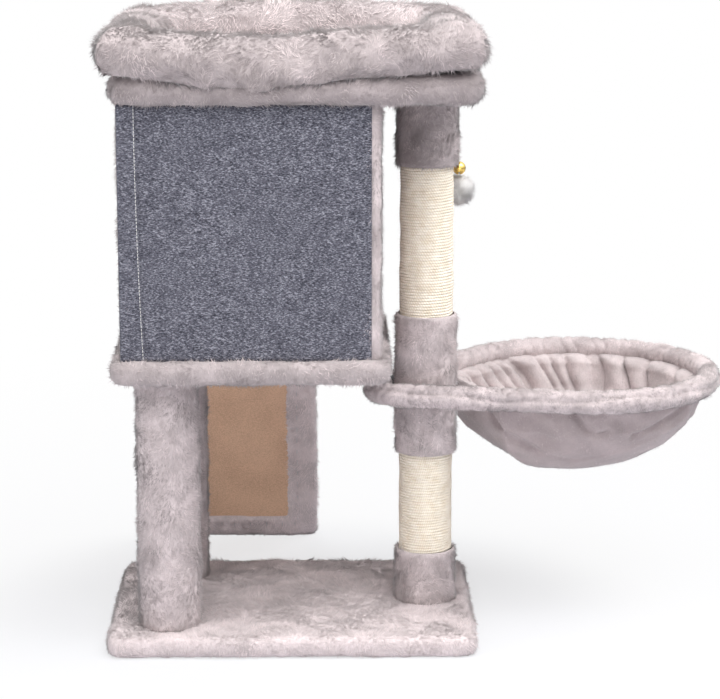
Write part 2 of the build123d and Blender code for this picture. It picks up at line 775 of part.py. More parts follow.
def ramp():
    """The leaning ramp: a board with plush folded round its edges, its sisal mat and two bent straps."""
    slope, length = ramp_slope()
    thick = ramp_board + 2 * ramp_plush
    foot = Vector(ramp_x, platform_depth / 2 + ramp_reach, -ramp_settle())
    lean = Plane(origin=foot, x_dir=(-1, 0, 0), z_dir=(0, math.sin(slope), math.cos(slope)))
    board, cover = wrapped_board(
        ramp_width, length, ramp_board, ramp_plush, ramp_corner, ramp_edge, ramp_fold
    )
    board, cover = Pos(0, length / 2, 0) * board, Pos(0, length / 2, 0) * cover

    mat_length = length - 2 * mat_margin
    mat = Pos(0, length / 2, thick) * Box(
        ramp_width - 2 * mat_margin, mat_length, mat_thickness, align=UPRIGHT
    )
    mat = fillet(mat.faces().sort_by(Axis.Z)[-1].edges(), mat_thickness / 3)

    corner_along = (platform_level + ramp_settle()) / math.sin(slope)
    screw = wood_screw(strap_screw_radius, strap_screw_length, strap_screw_head_radius, strap_screw_head)
    drill = wood_screw(
        strap_screw_radius + thread_play,
        strap_screw_length,
        strap_screw_head_radius + thread_play,
        strap_screw_head,
    )
    seats = [Pos(x, y, platform_level - strap_thickness) for x, y in strap_screw_places()]
    for x in ramp_strap_x():
        for along in strap_screw_steps():
            across, up_ramp = ramp_x - x, corner_along - strap_leg + along
            hole = rod(strap_screw_radius + thread_play, 0, strap_screw_length, across, up_ramp)
            board -= hole
            cover -= hole
            seats.append(lean.location * Pos(across, up_ramp, -strap_thickness))
    save("ramp_board", lean * board)
    save("ramp_plush", lean * cover)
    save("ramp_sisal_mat", lean * mat)

    corner_y = strap_corner_y()
    down = Vector(0, math.cos(slope), -math.sin(slope))
    line = Polyline(
        (corner_y - strap_leg, platform_level),
        (corner_y, platform_level),
        (corner_y + strap_leg * down.Y, platform_level + strap_leg * down.Z),
    )
    profile = make_face(line.offset_2d(strap_thickness, kind=Kind.INTERSECTION, side=Side.RIGHT))
    straps = []
    for x in ramp_strap_x():
        strap = Pos(x, 0, 0) * extrude(Plane.YZ * profile, strap_width / 2, both=True)
        for seat in seats:
            if abs(seat.position.X - x) < strap_width:
                strap -= seat * drill
        straps.append(strap)
    save("ramp_straps", *straps)
    save("ramp_screws", *[seat * screw for seat in seats])


def toy():
    """Screw eye under the top platform, a ring in it, and the string with its bell and pompom."""
    eye_level = top_level - toy_eye_radius - toy_wire - toy_clearance
    eye = Pos(toy_x, toy_y, eye_level) * Rot(90, 0, 0) * Torus(toy_eye_radius, toy_wire)
    shank_foot = eye_level + toy_eye_radius - toy_wire / 2
    eye += rod(toy_wire, shank_foot, top_level + toy_shank, toy_x, toy_y)
    save("toy_screw_eye", eye)
    hang = toy_eye_radius - 2 * toy_wire - toy_clearance
    ring_level = eye_level - hang - toy_eye_radius
    save("toy_ring", Pos(toy_x, toy_y, ring_level) * Rot(0, 90, 0) * Torus(toy_eye_radius, toy_wire))

    string_radius = toy_string_diameter / 2
    loop_level = ring_level - toy_eye_radius - (toy_loop_radius - string_radius - toy_wire - toy_clearance)
    loop = Pos(toy_x, toy_y, loop_level) * Rot(90, 0, 0) * Torus(toy_loop_radius, string_radius)
    string_top = loop_level - toy_loop_radius - string_radius
    string_foot = string_top - toy_string_length
    knot = Pos(toy_x, toy_y, string_top) * Sphere(toy_knot_radius)
    loop = loop + knot - rod(string_radius, string_foot, string_top, toy_x, toy_y)
    save("toy_loop_knot", loop)
    save("toy_string", rod(string_radius, string_foot, string_top, toy_x, toy_y))

    pompom_level = string_foot - pompom_radius
    pompom = Pos(toy_x, toy_y, pompom_level) * Sphere(pompom_radius)
    save("toy_pompom", pompom)
    hook_radius = string_radius + 2 * toy_wire
    aside = hook_radius + bell_radius
    bell_y = toy_y - aside
    reach = pompom_radius + bell_radius + toy_clearance
    bell_level = pompom_level + math.sqrt(reach**2 - aside**2)
    shell = Sphere(bell_radius) - Sphere(bell_radius - bell_wall)
    slot = Pos(0, 0, -bell_radius) * Box(bell_slot, 2 * bell_radius, bell_radius, align=(Align.CENTER,) * 3)
    bell = Pos(toy_x, bell_y, bell_level) * (shell - slot)
    hook = Pos(toy_x, toy_y, bell_level) * Torus(hook_radius, bell_hook_wire)
    inside = Pos(toy_x, bell_y, bell_level) * Sphere(bell_radius - bell_wall / 2)
    save("toy_bell", bell + (hook - inside))
    pellet = bell_level - bell_radius + bell_wall + pellet_radius + toy_clearance
    save("toy_bell_pellet", Pos(toy_x, bell_y, pellet) * Sphere(pellet_radius))
    print("toy joints: eye", round(eye_level, 3), "ring", round(ring_level, 3))


base()
posts()
platform()
condo()
top_platform()
bed()
hammock()
ramp()
toy()
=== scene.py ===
"""Looks of a cat tree: plush and its pile, felt, wound sisal, a gathered hammock and a hanging toy."""

import logging
import math
from collections.abc import Callable, Sequence
from dataclasses import dataclass, field, replace
from enum import Enum

import bmesh
import bpy
import numpy as np
from bpy.types import Material, Mesh, Object, World
from mathutils import Matrix, Vector


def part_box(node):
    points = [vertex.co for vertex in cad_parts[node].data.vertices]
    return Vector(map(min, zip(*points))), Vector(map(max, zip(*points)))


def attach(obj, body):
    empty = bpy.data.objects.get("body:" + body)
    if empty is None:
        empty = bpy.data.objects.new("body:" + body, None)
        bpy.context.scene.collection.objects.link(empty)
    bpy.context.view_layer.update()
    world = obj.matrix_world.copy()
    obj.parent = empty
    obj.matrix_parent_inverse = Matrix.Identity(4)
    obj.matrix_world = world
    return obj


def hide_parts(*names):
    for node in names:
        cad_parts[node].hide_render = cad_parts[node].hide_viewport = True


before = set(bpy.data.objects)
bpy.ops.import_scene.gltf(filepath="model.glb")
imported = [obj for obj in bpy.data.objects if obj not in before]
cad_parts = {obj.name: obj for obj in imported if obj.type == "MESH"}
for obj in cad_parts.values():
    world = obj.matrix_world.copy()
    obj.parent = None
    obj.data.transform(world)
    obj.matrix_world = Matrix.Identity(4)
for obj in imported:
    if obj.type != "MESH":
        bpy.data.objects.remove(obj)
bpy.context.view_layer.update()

MM = 0.001
WHITE = (1.0, 1.0, 1.0)
TINY = 1e-9
NUDGE = 1e-4
LOOSE = 0.001 * MM
SEAM = 0.05 * MM
Colour = tuple[float, float, float]
Mask = Callable[[np.ndarray, np.ndarray], np.ndarray]
log = logging.getLogger("cat_tree")


class Body(Enum):
    """What a piece moves with."""

    STAND = "stand"
    HAMMOCK = "hammock"
    TOY = "toy"


class Slot(Enum):
    """The record's material slots."""

    PLUSH = "plush"
    STUFFED = "stuffed_plush"
    FELT = "felt"
    SISAL = "sisal"
    BOARD = "fibreboard"
    TUBE = "paper_tube"
    PLUG = "wood_plug"
    STEEL = "steel"
    DARK_STEEL = "dark_steel"
    STRING = "white_string"
    BELL = "brass_bell"
    POMPOM = "pompom"


class Signal:
    """A shader value; arithmetic on it adds Math nodes."""

    def __init__(self, graph: "Graph", socket: bpy.types.NodeSocket) -> None:
        """Wrap a socket of the graph."""
        self.graph, self.socket = graph, socket

    def _with(self, operation: str, first: "Signal | float", second: "Signal | float") -> "Signal":
        """One Math node."""
        return self.graph.node("ShaderNodeMath", {"operation": operation}, {0: first, 1: second})

    def __add__(self, other: "Signal | float") -> "Signal":
        """The sum."""
        return self._with("ADD", self, other)

    def __sub__(self, other: "Signal | float") -> "Signal":
        """The difference."""
        return self._with("SUBTRACT", self, other)

    def __rsub__(self, other: float) -> "Signal":
        """The difference the other way round."""
        return self._with("SUBTRACT", other, self)

    def __mul__(self, other: "Signal | float") -> "Signal":
        """The product."""
        return self._with("MULTIPLY", self, other)

    __radd__ = __add__
    __rmul__ = __mul__


class Graph:
    """The nodes of a material or world, made through one method."""

    def __init__(self, name: str, world: World | None = None) -> None:
        """Start an empty material, or empty a world."""
        self.owner = world or bpy.data.materials.new(name)
        self.owner.use_nodes = True
        self.tree = self.owner.node_tree
        self.tree.nodes.clear()

    def node(self, kind: str, settings: dict | None = None, inputs: dict | None = None,
             output: int | str = 0) -> Signal:
        """Add a node.

        Args:
            kind: The node's type name.
            settings: Attributes to set first.
            inputs: Values or signals by socket name or index.
            output: The socket to return.

        Returns:
            The chosen output.
        """
        made = self.tree.nodes.new(kind)
        for key, value in (settings or {}).items():
            setattr(made, key, value)
        for key, value in (inputs or {}).items():
            if isinstance(value, Signal):
                self.tree.links.new(value.socket, made.inputs[key])
            elif isinstance(value, tuple) and len(value) == 3 and made.inputs[key].type == "RGBA":
                made.inputs[key].default_value = (*value, 1.0)
            else:
                made.inputs[key].default_value = value
        return Signal(self, made.outputs[output])

    def place(self, stretch: Colour = (1.0, 1.0, 1.0), turn: Colour = (0.0, 0.0, 0.0),
              source: str = "Object") -> Signal:
        """Coordinates in metres, or the piece's own UV map, stretched and turned."""
        spot = self.node("ShaderNodeTexCoord", output=source)
        return self.node("ShaderNodeMapping", None, {"Vector": spot, "Scale": stretch, "Rotation": turn})

    def noise(self, size: float, at: Signal | None = None, detail: float = 2.0, rough: float = 0.5) -> Signal:
        """Smooth noise whose lumps are about this size in metres."""
        sockets = {"Vector": at or self.place(), "Scale": 1.0 / size, "Detail": detail, "Roughness": rough}
        return self.node("ShaderNodeTexNoise", None, sockets)

    def blend(self, factor: Signal | float, first: Signal | Colour, second: Signal | Colour) -> Signal:
        """A mix of two colours."""
        return self.node("ShaderNodeMix", {"data_type": "RGBA"}, {0: factor, 6: first, 7: second}, 2)

    def band(self, value: Signal, low: float, high: float) -> Signal:
        """A soft step from 0 at low to 1 at high."""
        sockets = {"Value": value, "From Min": low, "From Max": high}
        return self.node("ShaderNodeMapRange", {"interpolation_type": "SMOOTHSTEP"}, sockets)

    def bump(self, height: Signal, depth: float, strength: float = 1.0) -> Signal:
        """A normal from a height."""
        sockets = {"Height": height, "Distance": depth, "Strength": strength}
        return self.node("ShaderNodeBump", None, sockets, "Normal")

    def surface(self, inputs: dict) -> Material:
        """Close the graph with the shader.

        Args:
            inputs: The shader's values and signals by socket name.

        Returns:
            The finished material.
        """
        return self.close(self.node("ShaderNodeBsdfPrincipled", None, inputs))

    def close(self, shader: Signal, kind: str = "ShaderNodeOutputMaterial") -> Material | World:
        """Lead a shader to the output."""
        end = self.tree.nodes.new(kind)
        self.tree.links.new(shader.socket, end.inputs["Surface"])
        return self.owner


def scaled(colour: Colour, share: float) -> Colour:
    """A colour made darker or lighter."""
    return tuple(min(1.0, channel * share) for channel in colour)


@dataclass(frozen=True)
class PlushFinish:
    """Brushed taupe plush: a ground cloth and the tones of its pile."""

    name: str = "plush"
    colour: Colour = (0.68, 0.593, 0.595)
    shades: tuple[float, ...] = (0.52, 0.65, 0.78, 0.91, 1.04, 1.17, 1.30)
    patch: float = 30 * MM
    nap: float = 1.6 * MM
    nap_share: float = 0.3
    nap_relief: float = 0.8 * MM
    nap_stretch: Colour = (1.0, 1.0, 0.45)
    contrast: tuple[float, float] = (0.33, 0.68)
    middle: float = 0.88
    spread: float = 0.16
    sheen: float = 0.35

    def ground(self) -> Material:
        """The cloth under the pile: soft patches and a fine nap."""
        graph = Graph(f"{self.name}_ground")
        patches = graph.noise(self.patch, detail=3.0)
        nap = graph.noise(self.nap, graph.place(self.nap_stretch), 3.0, 0.65)
        tone = graph.band(patches * (1 - self.nap_share) + nap * self.nap_share, *self.contrast)
        deep, pale = (scaled(self.colour, self.middle + step) for step in (-self.spread, self.spread))
        return graph.surface({
            "Base Color": graph.blend(tone, deep, pale),
            "Roughness": 0.95 - 0.1 * tone,
            "Normal": graph.bump(nap, self.nap_relief),
            "Sheen Weight": self.sheen,
            "Sheen Roughness": 0.45,
            "Specular IOR Level": 0.15,
        })

    def tones(self) -> list[Material]:
        """The pile's tones, dark to light."""
        return [self._tone(k, share) for k, share in enumerate(self.shades)]

    def _tone(self, number: int, share: float) -> Material:
        """One tone of the pile."""
        return Graph(f"{self.name}_pile_{number}").surface({
            "Base Color": scaled(self.colour, share),
            "Roughness": 0.85,
            "Sheen Weight": self.sheen,
            "Sheen Roughness": 0.4,
            "Specular IOR Level": 0.2,
        })


@dataclass(frozen=True)
class FeltFinish:
    """Blue-grey melange felt, light and dark fibres pressed together."""

    dark: Colour = (0.034, 0.034, 0.045)
    middle: Colour = (0.105, 0.105, 0.132)
    light: Colour = (0.32, 0.32, 0.365)
    fibre: float = 1.6 * MM
    cross_fibre: float = 1.4 * MM
    cloud: float = 14 * MM
    relief: float = 0.5 * MM
    lay: tuple[Colour, Colour] = ((0.55, 1.0, 1.4), (0.0, 0.4, 0.0))
    cross_lay: tuple[Colour, Colour] = ((0.65, 1.0, 1.3), (0.0, -0.6, 0.0))
    pale_band: tuple[float, float] = (0.56, 0.70)
    deep_band: tuple[float, float] = (0.56, 0.44)

    def material(self) -> Material:
        """Two crossing layers of fibres over a cloudy ground."""
        graph = Graph("melange_felt")
        one = graph.noise(self.fibre, graph.place(*self.lay), 2.0, 0.65)
        two = graph.noise(self.cross_fibre, graph.place(*self.cross_lay), 2.0, 0.65)
        cloud = graph.noise(self.cloud, detail=2.0)
        fibre = one * 0.55 + two * 0.45 + cloud * 0.12
        pale = graph.band(fibre, *self.pale_band)
        deep = graph.band(fibre, *self.deep_band)
        colour = graph.blend(deep, self.middle, self.dark)
        return graph.surface({
            "Base Color": graph.blend(pale, colour, self.light),
            "Roughness": 0.97 - 0.08 * pale,
            "Normal": graph.bump(fibre, self.relief, 0.8),
            "Specular IOR Level": 0.15,
            "Sheen Weight": 0.15,
        })


@dataclass(frozen=True)
class SisalFinish:
    """Cream sisal: pale fibres twisted in strands."""

    name: str
    colour: Colour = (0.95, 0.89, 0.79)
    shade: Colour = (0.76, 0.65, 0.50)
    strands: float = 1.0
    lays: float = 1.0
    hair: float = 0.7 * MM
    patch: float = 9 * MM
    relief: float = 0.25 * MM
    contrast: tuple[float, float] = (0.40, 0.85)

    def rope(self) -> Material:
        """Strands that wind round the rope, by its own UV map."""
        graph = Graph(self.name)
        along = graph.node("ShaderNodeSeparateXYZ", None, {0: graph.place(source="UV")}, "Y")
        around = graph.node("ShaderNodeSeparateXYZ", None, {0: graph.place(source="UV")}, "X")
        turn = (around * self.strands + along * self.lays) * math.tau
        strand = graph.node("ShaderNodeMath", {"operation": "SINE"}, {0: turn}) * 0.5 + 0.5
        fibre = graph.noise(self.hair, graph.place((1.0, 1.0, 2.5)), 2.0, 0.6)
        patch = graph.noise(self.patch)
        tone = graph.band(strand * 0.25 + fibre * 0.6 + patch * 0.5, *self.contrast)
        return graph.surface({
            "Base Color": graph.blend(tone, self.shade, self.colour),
            "Roughness": 0.92 - 0.15 * tone,
            "Normal": graph.bump(strand * 0.5 + fibre * 0.5, self.relief),
            "Specular IOR Level": 0.25,
        })

    def woven(self) -> Material:
        """Fibres of a flat woven mat."""
        graph = Graph(self.name)
        fibre = graph.noise(self.hair, graph.place(), 3.0, 0.65)
        patch = graph.noise(self.patch)
        tone = graph.band(fibre * 0.7 + patch * 0.3, *self.contrast)
        return graph.surface({
            "Base Color": graph.blend(tone, self.shade, self.colour),
            "Roughness": 0.95 - 0.1 * tone,
            "Normal": graph.bump(fibre, self.relief),
            "Specular IOR Level": 0.2,
        })

    def fibre(self) -> Material:
        """A loose fibre."""
        return Graph(f"{self.name}_fibre").surface({
            "Base Color": self.colour, "Roughness": 0.8, "Specular IOR Level": 0.3,
        })


@dataclass(frozen=True)
class GrainFinish:
    """Pressed board, card or wood: a fine speckle, streaked where the grain runs."""

    name: str
    light: Colour
    dark: Colour
    grain: float = 1.6 * MM
    stretch: Colour = (1.0, 1.0, 1.0)
    relief: float = 0.15 * MM
    rough: float = 0.8
    drift: float = 30.0
    contrast: tuple[float, float] = (0.34, 0.64)

    def material(self) -> Material:
        """Speckle over slow drifts of tone."""
        graph = Graph(self.name)
        fleck = graph.noise(self.grain, graph.place(self.stretch), 4.0, 0.7)
        drift = graph.noise(self.drift * self.grain)
        tone = graph.band(fleck * 0.75 + drift * 0.25, *self.contrast)
        return graph.surface({
            "Base Color": graph.blend(tone, self.dark, self.light),
            "Roughness": self.rough + 0.12 - 0.2 * tone,
            "Normal": graph.bump(fleck, self.relief),
            "Specular IOR Level": 0.3,
        })


@dataclass(frozen=True)
class MetalFinish:
    """Plated or bare metal with faint drawing marks and dulled spots."""

    name: str
    colour: Colour
    rough: float = 0.3
    mark: float = 0.5 * MM
    spot: float = 4 * MM
    relief: float = 0.02 * MM
    drawn: Colour = (1.0, 1.0, 0.12)
    dulled: tuple[float, float] = (0.4, 0.7)
    dulling: float = 0.8

    def material(self) -> Material:
        """Metal whose polish varies."""
        graph = Graph(self.name)
        marks = graph.noise(self.mark, graph.place(self.drawn), 2.0, 0.6)
        spots = graph.noise(self.spot, detail=3.0)
        return graph.surface({
            "Base Color": graph.blend(graph.band(spots, *self.dulled), self.colour,
                                      scaled(self.colour, self.dulling)),
            "Roughness": self.rough - 0.08 + marks * 0.12 + spots * 0.12,
            "Metallic": 1.0,
            "Normal": graph.bump(marks, self.relief),
        })


class Waves:
    """A smooth field over space: a seeded sum of plane waves about one wavelength."""

    spread: tuple[float, float] = (0.7, 1.5)

    def __init__(self, length: float, seed: int, count: int = 12) -> None:
        """Draw the waves.

        Args:
            length: Their middle wavelength in metres.
            seed: What the draw starts from.
            count: How many waves are summed.
        """
        draw = np.random.default_rng(seed)
        ways = draw.normal(size=(count, 3))
        ways /= np.linalg.norm(ways, axis=1, keepdims=True)
        self.ways = ways * (math.tau / (length * draw.uniform(*self.spread, count)))[:, None]
        self.phases = draw.uniform(0.0, math.tau, count)

    def __call__(self, points: np.ndarray) -> np.ndarray:
        """The field at some points; its spread is about 1."""
        return np.sin(points @ self.ways.T + self.phases).sum(axis=1) * math.sqrt(2.0 / len(self.phases))


def points_of(mesh: Mesh) -> np.ndarray:
    """A mesh's vertices as rows."""
    found = np.empty(len(mesh.vertices) * 3, np.float32)
    mesh.vertices.foreach_get("co", found)
    return found.reshape(-1, 3).astype(np.float64)


def normals_of(mesh: Mesh) -> np.ndarray:
    """A mesh's vertex normals as rows."""
    found = np.empty(len(mesh.vertices) * 3, np.float32)
    mesh.vertex_normals.foreach_get("vector", found)
    return found.reshape(-1, 3).astype(np.float64)


def move_points(mesh: Mesh, points: np.ndarray) -> None:
    """Put a mesh's vertices at new places."""
    mesh.vertices.foreach_set("co", points.astype(np.float32).ravel())
    mesh.update()


def unit(rows: np.ndarray) -> np.ndarray:
    """Rows at length 1."""
    return rows / np.maximum(np.linalg.norm(rows, axis=1, keepdims=True), TINY)


def new_object(name: str, mesh: Mesh) -> Object:
    """Link an object that shows the mesh."""
    made = bpy.data.objects.new(name, mesh)
    bpy.context.scene.collection.objects.link(made)
    return made


def from_bmesh(name: str, bm: bmesh.types.BMesh, smooth: bool = True) -> Object:
    """Turn a bmesh into an object and free it."""
    mesh = bpy.data.meshes.new(name)
    bm.to_mesh(mesh)
    bm.free()
    mesh.polygons.foreach_set("use_smooth", [smooth] * len(mesh.polygons))
    return new_object(name, mesh)


def applied(made: Object) -> Object:
    """Apply an object's modifiers to its mesh."""
    graph = bpy.context.evaluated_depsgraph_get()
    mesh = bpy.data.meshes.new_from_object(made.evaluated_get(graph))
    made.modifiers.clear()
    made.data = mesh
    return made


def mapped_sheet(name: str, cells: tuple[int, int], place: Callable[[float, float], Sequence[float]],
                 weld: float = 0.02 * MM) -> Object:
    """A grid laid over a shape, welded where its edges meet.

    Args:
        name: The object's name.
        cells: Cells across and along.
        place: Where the point at shares u and v of the grid goes.
        weld: How near points have to be to become one.

    Returns:
        The object, with the grid's UV map.
    """
    bm = bmesh.new()
    bm.loops.layers.uv.new("UVMap")
    bmesh.ops.create_grid(bm, x_segments=cells[0], y_segments=cells[1], size=0.5, calc_uvs=True)
    for vert in bm.verts:
        vert.co = place(vert.co.x + 0.5, vert.co.y + 0.5)
    bmesh.ops.remove_doubles(bm, verts=bm.verts, dist=weld)
    bmesh.ops.recalc_face_normals(bm, faces=bm.faces)
    return from_bmesh(name, bm)


def soft_copy(name: str, nodes: Sequence[str], voxel: float = 4 * MM) -> Object:
    """A soft, evenly meshed copy of what CAD nodes fill together.

    Args:
        name: The object's name.
        nodes: The nodes, such as a cover and the board inside it.
        voxel: The mesh's step.

    Returns:
        The object.
    """
    bm = bmesh.new()
    for node in nodes:
        bm.from_mesh(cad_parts[node].data)
    bmesh.ops.remove_doubles(bm, verts=bm.verts, dist=LOOSE)
    made = from_bmesh(name, bm)
    remesh = made.modifiers.new("even", "REMESH")
    remesh.mode, remesh.voxel_size = "VOXEL", voxel
    applied(made)
    made.data.materials.clear()
    made.data.polygons.foreach_set("use_smooth", [True] * len(made.data.polygons))
    return made


def ruffle(made: Object, rises: Sequence[tuple[float, float]], seed: int) -> Object:
    """Swell a surface unevenly and outwards along its normals.

    Args:
        made: The piece.
        rises: Height and wavelength of each layer, in metres.
        seed: What the waves are drawn from.

    Returns:
        The piece.
    """
    points, normals = points_of(made.data), normals_of(made.data)
    for k, (height, length) in enumerate(rises):
        points += normals * (height * np.maximum(0.0, 1.0 + Waves(length, seed + k)(points)))[:, None]
    move_points(made.data, points)
    return made


def dent(made: Object, presses: Sequence[tuple[np.ndarray, float, float]]) -> Object:
    """Press a surface in round some places.

    Args:
        made: The piece.
        presses: For each press its places as rows, close together for a crease; how deep the middle goes,
            less than zero where it rises; and how far out it reaches, in metres.

    Returns:
        The piece.
    """
    points, normals = points_of(made.data), normals_of(made.data)
    total = np.zeros(len(points))
    for spots, depth, width in presses:
        nearest = np.full(len(points), np.inf)
        for spot in spots:
            nearest = np.minimum(nearest, ((points - spot) ** 2).sum(axis=1))
        total += depth * np.exp(-nearest / width**2)
    move_points(made.data, points - normals * total[:, None])
    return made


def welded(name: str, *sheets: Object) -> Object:
    """Sew sheets together where their edges meet and take their place."""
    bm = bmesh.new()
    for sheet in sheets:
        bm.from_mesh(sheet.data)
        bpy.data.objects.remove(sheet)
    bmesh.ops.remove_doubles(bm, verts=bm.verts, dist=SEAM)
    bmesh.ops.recalc_face_normals(bm, faces=bm.faces)
    return from_bmesh(name, bm)


@dataclass(frozen=True)
class Filling:
    """A stuffing that swells its cover in a Cloth run; the cloth outgrows its start, so that it folds."""

    pressure: float
    growth: float
    cap: float
    quality: int = 6
    mass: float = 0.25
    stretch: float = 12.0
    bend: float = 0.4
    steps: int = 20

    def swell(self, made: Object, held: np.ndarray) -> Object:
        """Fill a closed soft piece and keep the result.

        Args:
            made: The piece.
            held: Which points stay.

        Returns:
            The piece, none of whose points moved further than the cap.
        """
        start = points_of(made.data)
        group = made.vertex_groups.new(name="held")
        group.add(np.flatnonzero(held).tolist(), 1.0, "REPLACE")
        cloth = made.modifiers.new("filling", "CLOTH")
        settings = cloth.settings
        settings.quality, settings.mass = self.quality, self.mass
        settings.tension_stiffness = settings.compression_stiffness = self.stretch
        settings.bending_stiffness = self.bend
        settings.use_pressure, settings.uniform_pressure_force = True, self.pressure
        settings.shrink_min = -self.growth
        settings.vertex_group_mass = "held"
        settings.effector_weights.gravity = 0.0
        cloth.collision_settings.use_collision = False
        for step in range(1, self.steps + 1):
            bpy.context.scene.frame_set(step)
        applied(made)
        bpy.context.scene.frame_set(1)
        made.vertex_groups.clear()
        moved = points_of(made.data) - start
        reach = np.linalg.norm(moved, axis=1, keepdims=True)
        move_points(made.data, start + moved * np.minimum(1.0, self.cap / np.maximum(reach, TINY)))
        return made


@dataclass(frozen=True)
class Pile:
    """How a plush's fibres stand: tufts that lean with the brush and vary in tone."""

    length: float = 5.5 * MM
    width: float = 0.75 * MM
    density: float = 330_000.0
    lean: float = 64.0
    fall: Colour = (0.0, 0.0, -0.9)
    sweep: float = 70 * MM
    clump: float = 8 * MM
    tone: float = 2.7
    tones: int = 7
    shade: Callable[[np.ndarray], np.ndarray] | None = None
    floor: float = 0.4 * MM
    ceiling: float = math.inf
    lengths: tuple[float, float] = (0.6, 1.25)
    widths: tuple[float, float] = (0.7, 1.2)
    leans: tuple[float, float] = (15.0, 80.0)
    depth: float = 0.5 * MM
    stray: float = 0.45
    lean_stray: float = 9.0
    patch_tone: float = 0.8
    clump_tone: float = 0.6
    stray_tone: float = 0.6
    clump_length: float = 0.22
    clump_cap: float = 1.5
    keel: float = 0.8
    shaded_under: float = 0.2
    cloth_tones: tuple[float, float, float] = (1.0, 1.7, 4.5)

    def grow(self, name: str, cover: Object, seed: int, keep: Mask | None = None) -> Object:
        """Scatter tufts over a cover.

        Args:
            name: The new object's name.
            cover: What they grow on.
            seed: What places and tones are drawn from.
            keep: Which places, by position and normal, have any.

        Returns:
            An object of closed three-sided tufts with a material place for each tone, dark to light.
        """
        draw = np.random.default_rng(seed)
        spots, normals = self._roots(cover.data, draw)
        if keep is not None:
            kept = keep(spots, normals)
            spots, normals = spots[kept], normals[kept]
        ways = self._ways(spots, normals, draw, seed)
        count = len(spots)
        side = unit(np.cross(ways, normals + NUDGE))
        under = unit(np.cross(side, ways))
        clumps = np.clip(Waves(self.clump, seed + 9)(spots), -self.clump_cap, self.clump_cap)
        thick = self.width * draw.uniform(*self.widths, (count, 1))
        tall = self.length * draw.uniform(*self.lengths, (count, 1))
        tall *= 1.0 + self.clump_length * clumps[:, None]
        root = spots - normals * self.depth
        tips = spots + ways * tall
        corners = np.stack([
            root - side * thick * 0.5, root + side * thick * 0.5, root - under * thick * self.keel, tips,
        ], axis=1)
        corners[:, :, 2] = np.clip(corners[:, :, 2], self.floor, self.ceiling)
        patches = Waves(0.5 * self.sweep, seed + 7)(spots)
        tone = self.tone + self.patch_tone * patches + self.clump_tone * clumps
        tone += draw.normal(0.0, self.stray_tone, count)
        if self.shade is not None:
            tone += self.shade(spots)
        tone = np.clip(np.rint(tone), 0, self.tones - 1).astype(np.int32)
        facing = np.repeat(unit(normals + self.shaded_under * under), 4, axis=0)
        return new_object(name, self._tufts(name, corners.reshape(-1, 3), tone, facing))

    def _roots(self, mesh: Mesh, draw: np.random.Generator) -> tuple[np.ndarray, np.ndarray]:
        """Places spread evenly over a mesh, with their normals."""
        mesh.calc_loop_triangles()
        faces = np.empty(len(mesh.loop_triangles) * 3, np.int32)
        mesh.loop_triangles.foreach_get("vertices", faces)
        faces = faces.reshape(-1, 3)
        points, normals = points_of(mesh), normals_of(mesh)
        a, b, c = (points[faces[:, k]] for k in range(3))
        grown = np.cumsum(np.linalg.norm(np.cross(b - a, c - a), axis=1) / 2)
        chosen = np.searchsorted(grown, draw.random(int(grown[-1] * self.density)) * grown[-1])
        chosen = np.minimum(chosen, len(faces) - 1)
        first, second = draw.random((2, len(chosen)))
        over = first + second > 1
        first[over], second[over] = 1 - first[over], 1 - second[over]
        shares = np.stack([1 - first - second, first, second], axis=1)[:, :, None]
        spots, ways = ((rows[faces[chosen]] * shares).sum(axis=1) for rows in (points, normals))
        return spots, unit(ways)

    def _ways(self, spots: np.ndarray, normals: np.ndarray, draw: np.random.Generator,
              seed: int) -> np.ndarray:
        """Which way each tuft points: with the brush, along the surface, and partly up from it."""
        swirl = np.stack([Waves(self.sweep, seed + 11 + k)(spots) for k in range(3)], axis=1)
        brush = swirl + np.array(self.fall)
        flat = unit(brush - normals * (brush * normals).sum(axis=1, keepdims=True))
        spin = draw.normal(0.0, self.stray, (len(spots), 1))
        flat = flat * np.cos(spin) + np.cross(normals, flat) * np.sin(spin)
        tilt = np.radians(self.lean + self.lean_stray * Waves(0.5 * self.sweep, seed + 5)(spots)
                          + draw.normal(0.0, self.lean_stray, len(spots)))[:, None]
        tilt = np.clip(tilt, *(math.radians(lean) for lean in self.leans))
        return unit(normals * np.cos(tilt) + flat * np.sin(tilt))

    def ground(self, finishes: "Finishes") -> Material:
        """The cloth that suits the pile's tone, painted light and shade included."""
        cloths = (finishes.deep_plush, finishes.dusky_plush, finishes.plush, finishes.pale_plush)
        return cloths[sum(self.tone >= least for least in self.cloth_tones)]

    @staticmethod
    def _tufts(name: str, points: np.ndarray, tone: np.ndarray, facing: np.ndarray) -> Mesh:
        """The mesh of the tufts, four points to each, shaded like the cloth that they stand on."""
        sides = np.array([[0, 1, 3], [1, 2, 3], [2, 0, 3], [2, 1, 0]], np.int32)
        faces = (sides[None] + 4 * np.arange(len(tone), dtype=np.int32)[:, None, None]).reshape(-1, 3)
        mesh = bpy.data.meshes.new(name)
        mesh.vertices.add(len(points))
        mesh.vertices.foreach_set("co", points.astype(np.float32).ravel())
        mesh.loops.add(faces.size)
        mesh.loops.foreach_set("vertex_index", faces.ravel())
        mesh.polygons.add(len(faces))
        mesh.polygons.foreach_set("loop_start", np.arange(0, faces.size, 3, dtype=np.int32))
        mesh.polygons.foreach_set("material_index", np.repeat(tone, 4))
        mesh.polygons.foreach_set("use_smooth", np.ones(len(faces), bool))
        mesh.update(calc_edges=True)
        shading = mesh.attributes.new("custom_normal", "FLOAT_VECTOR", "POINT")
        shading.data.foreach_set("vector", facing.astype(np.float32).ravel())
        mesh.update()
        return mesh


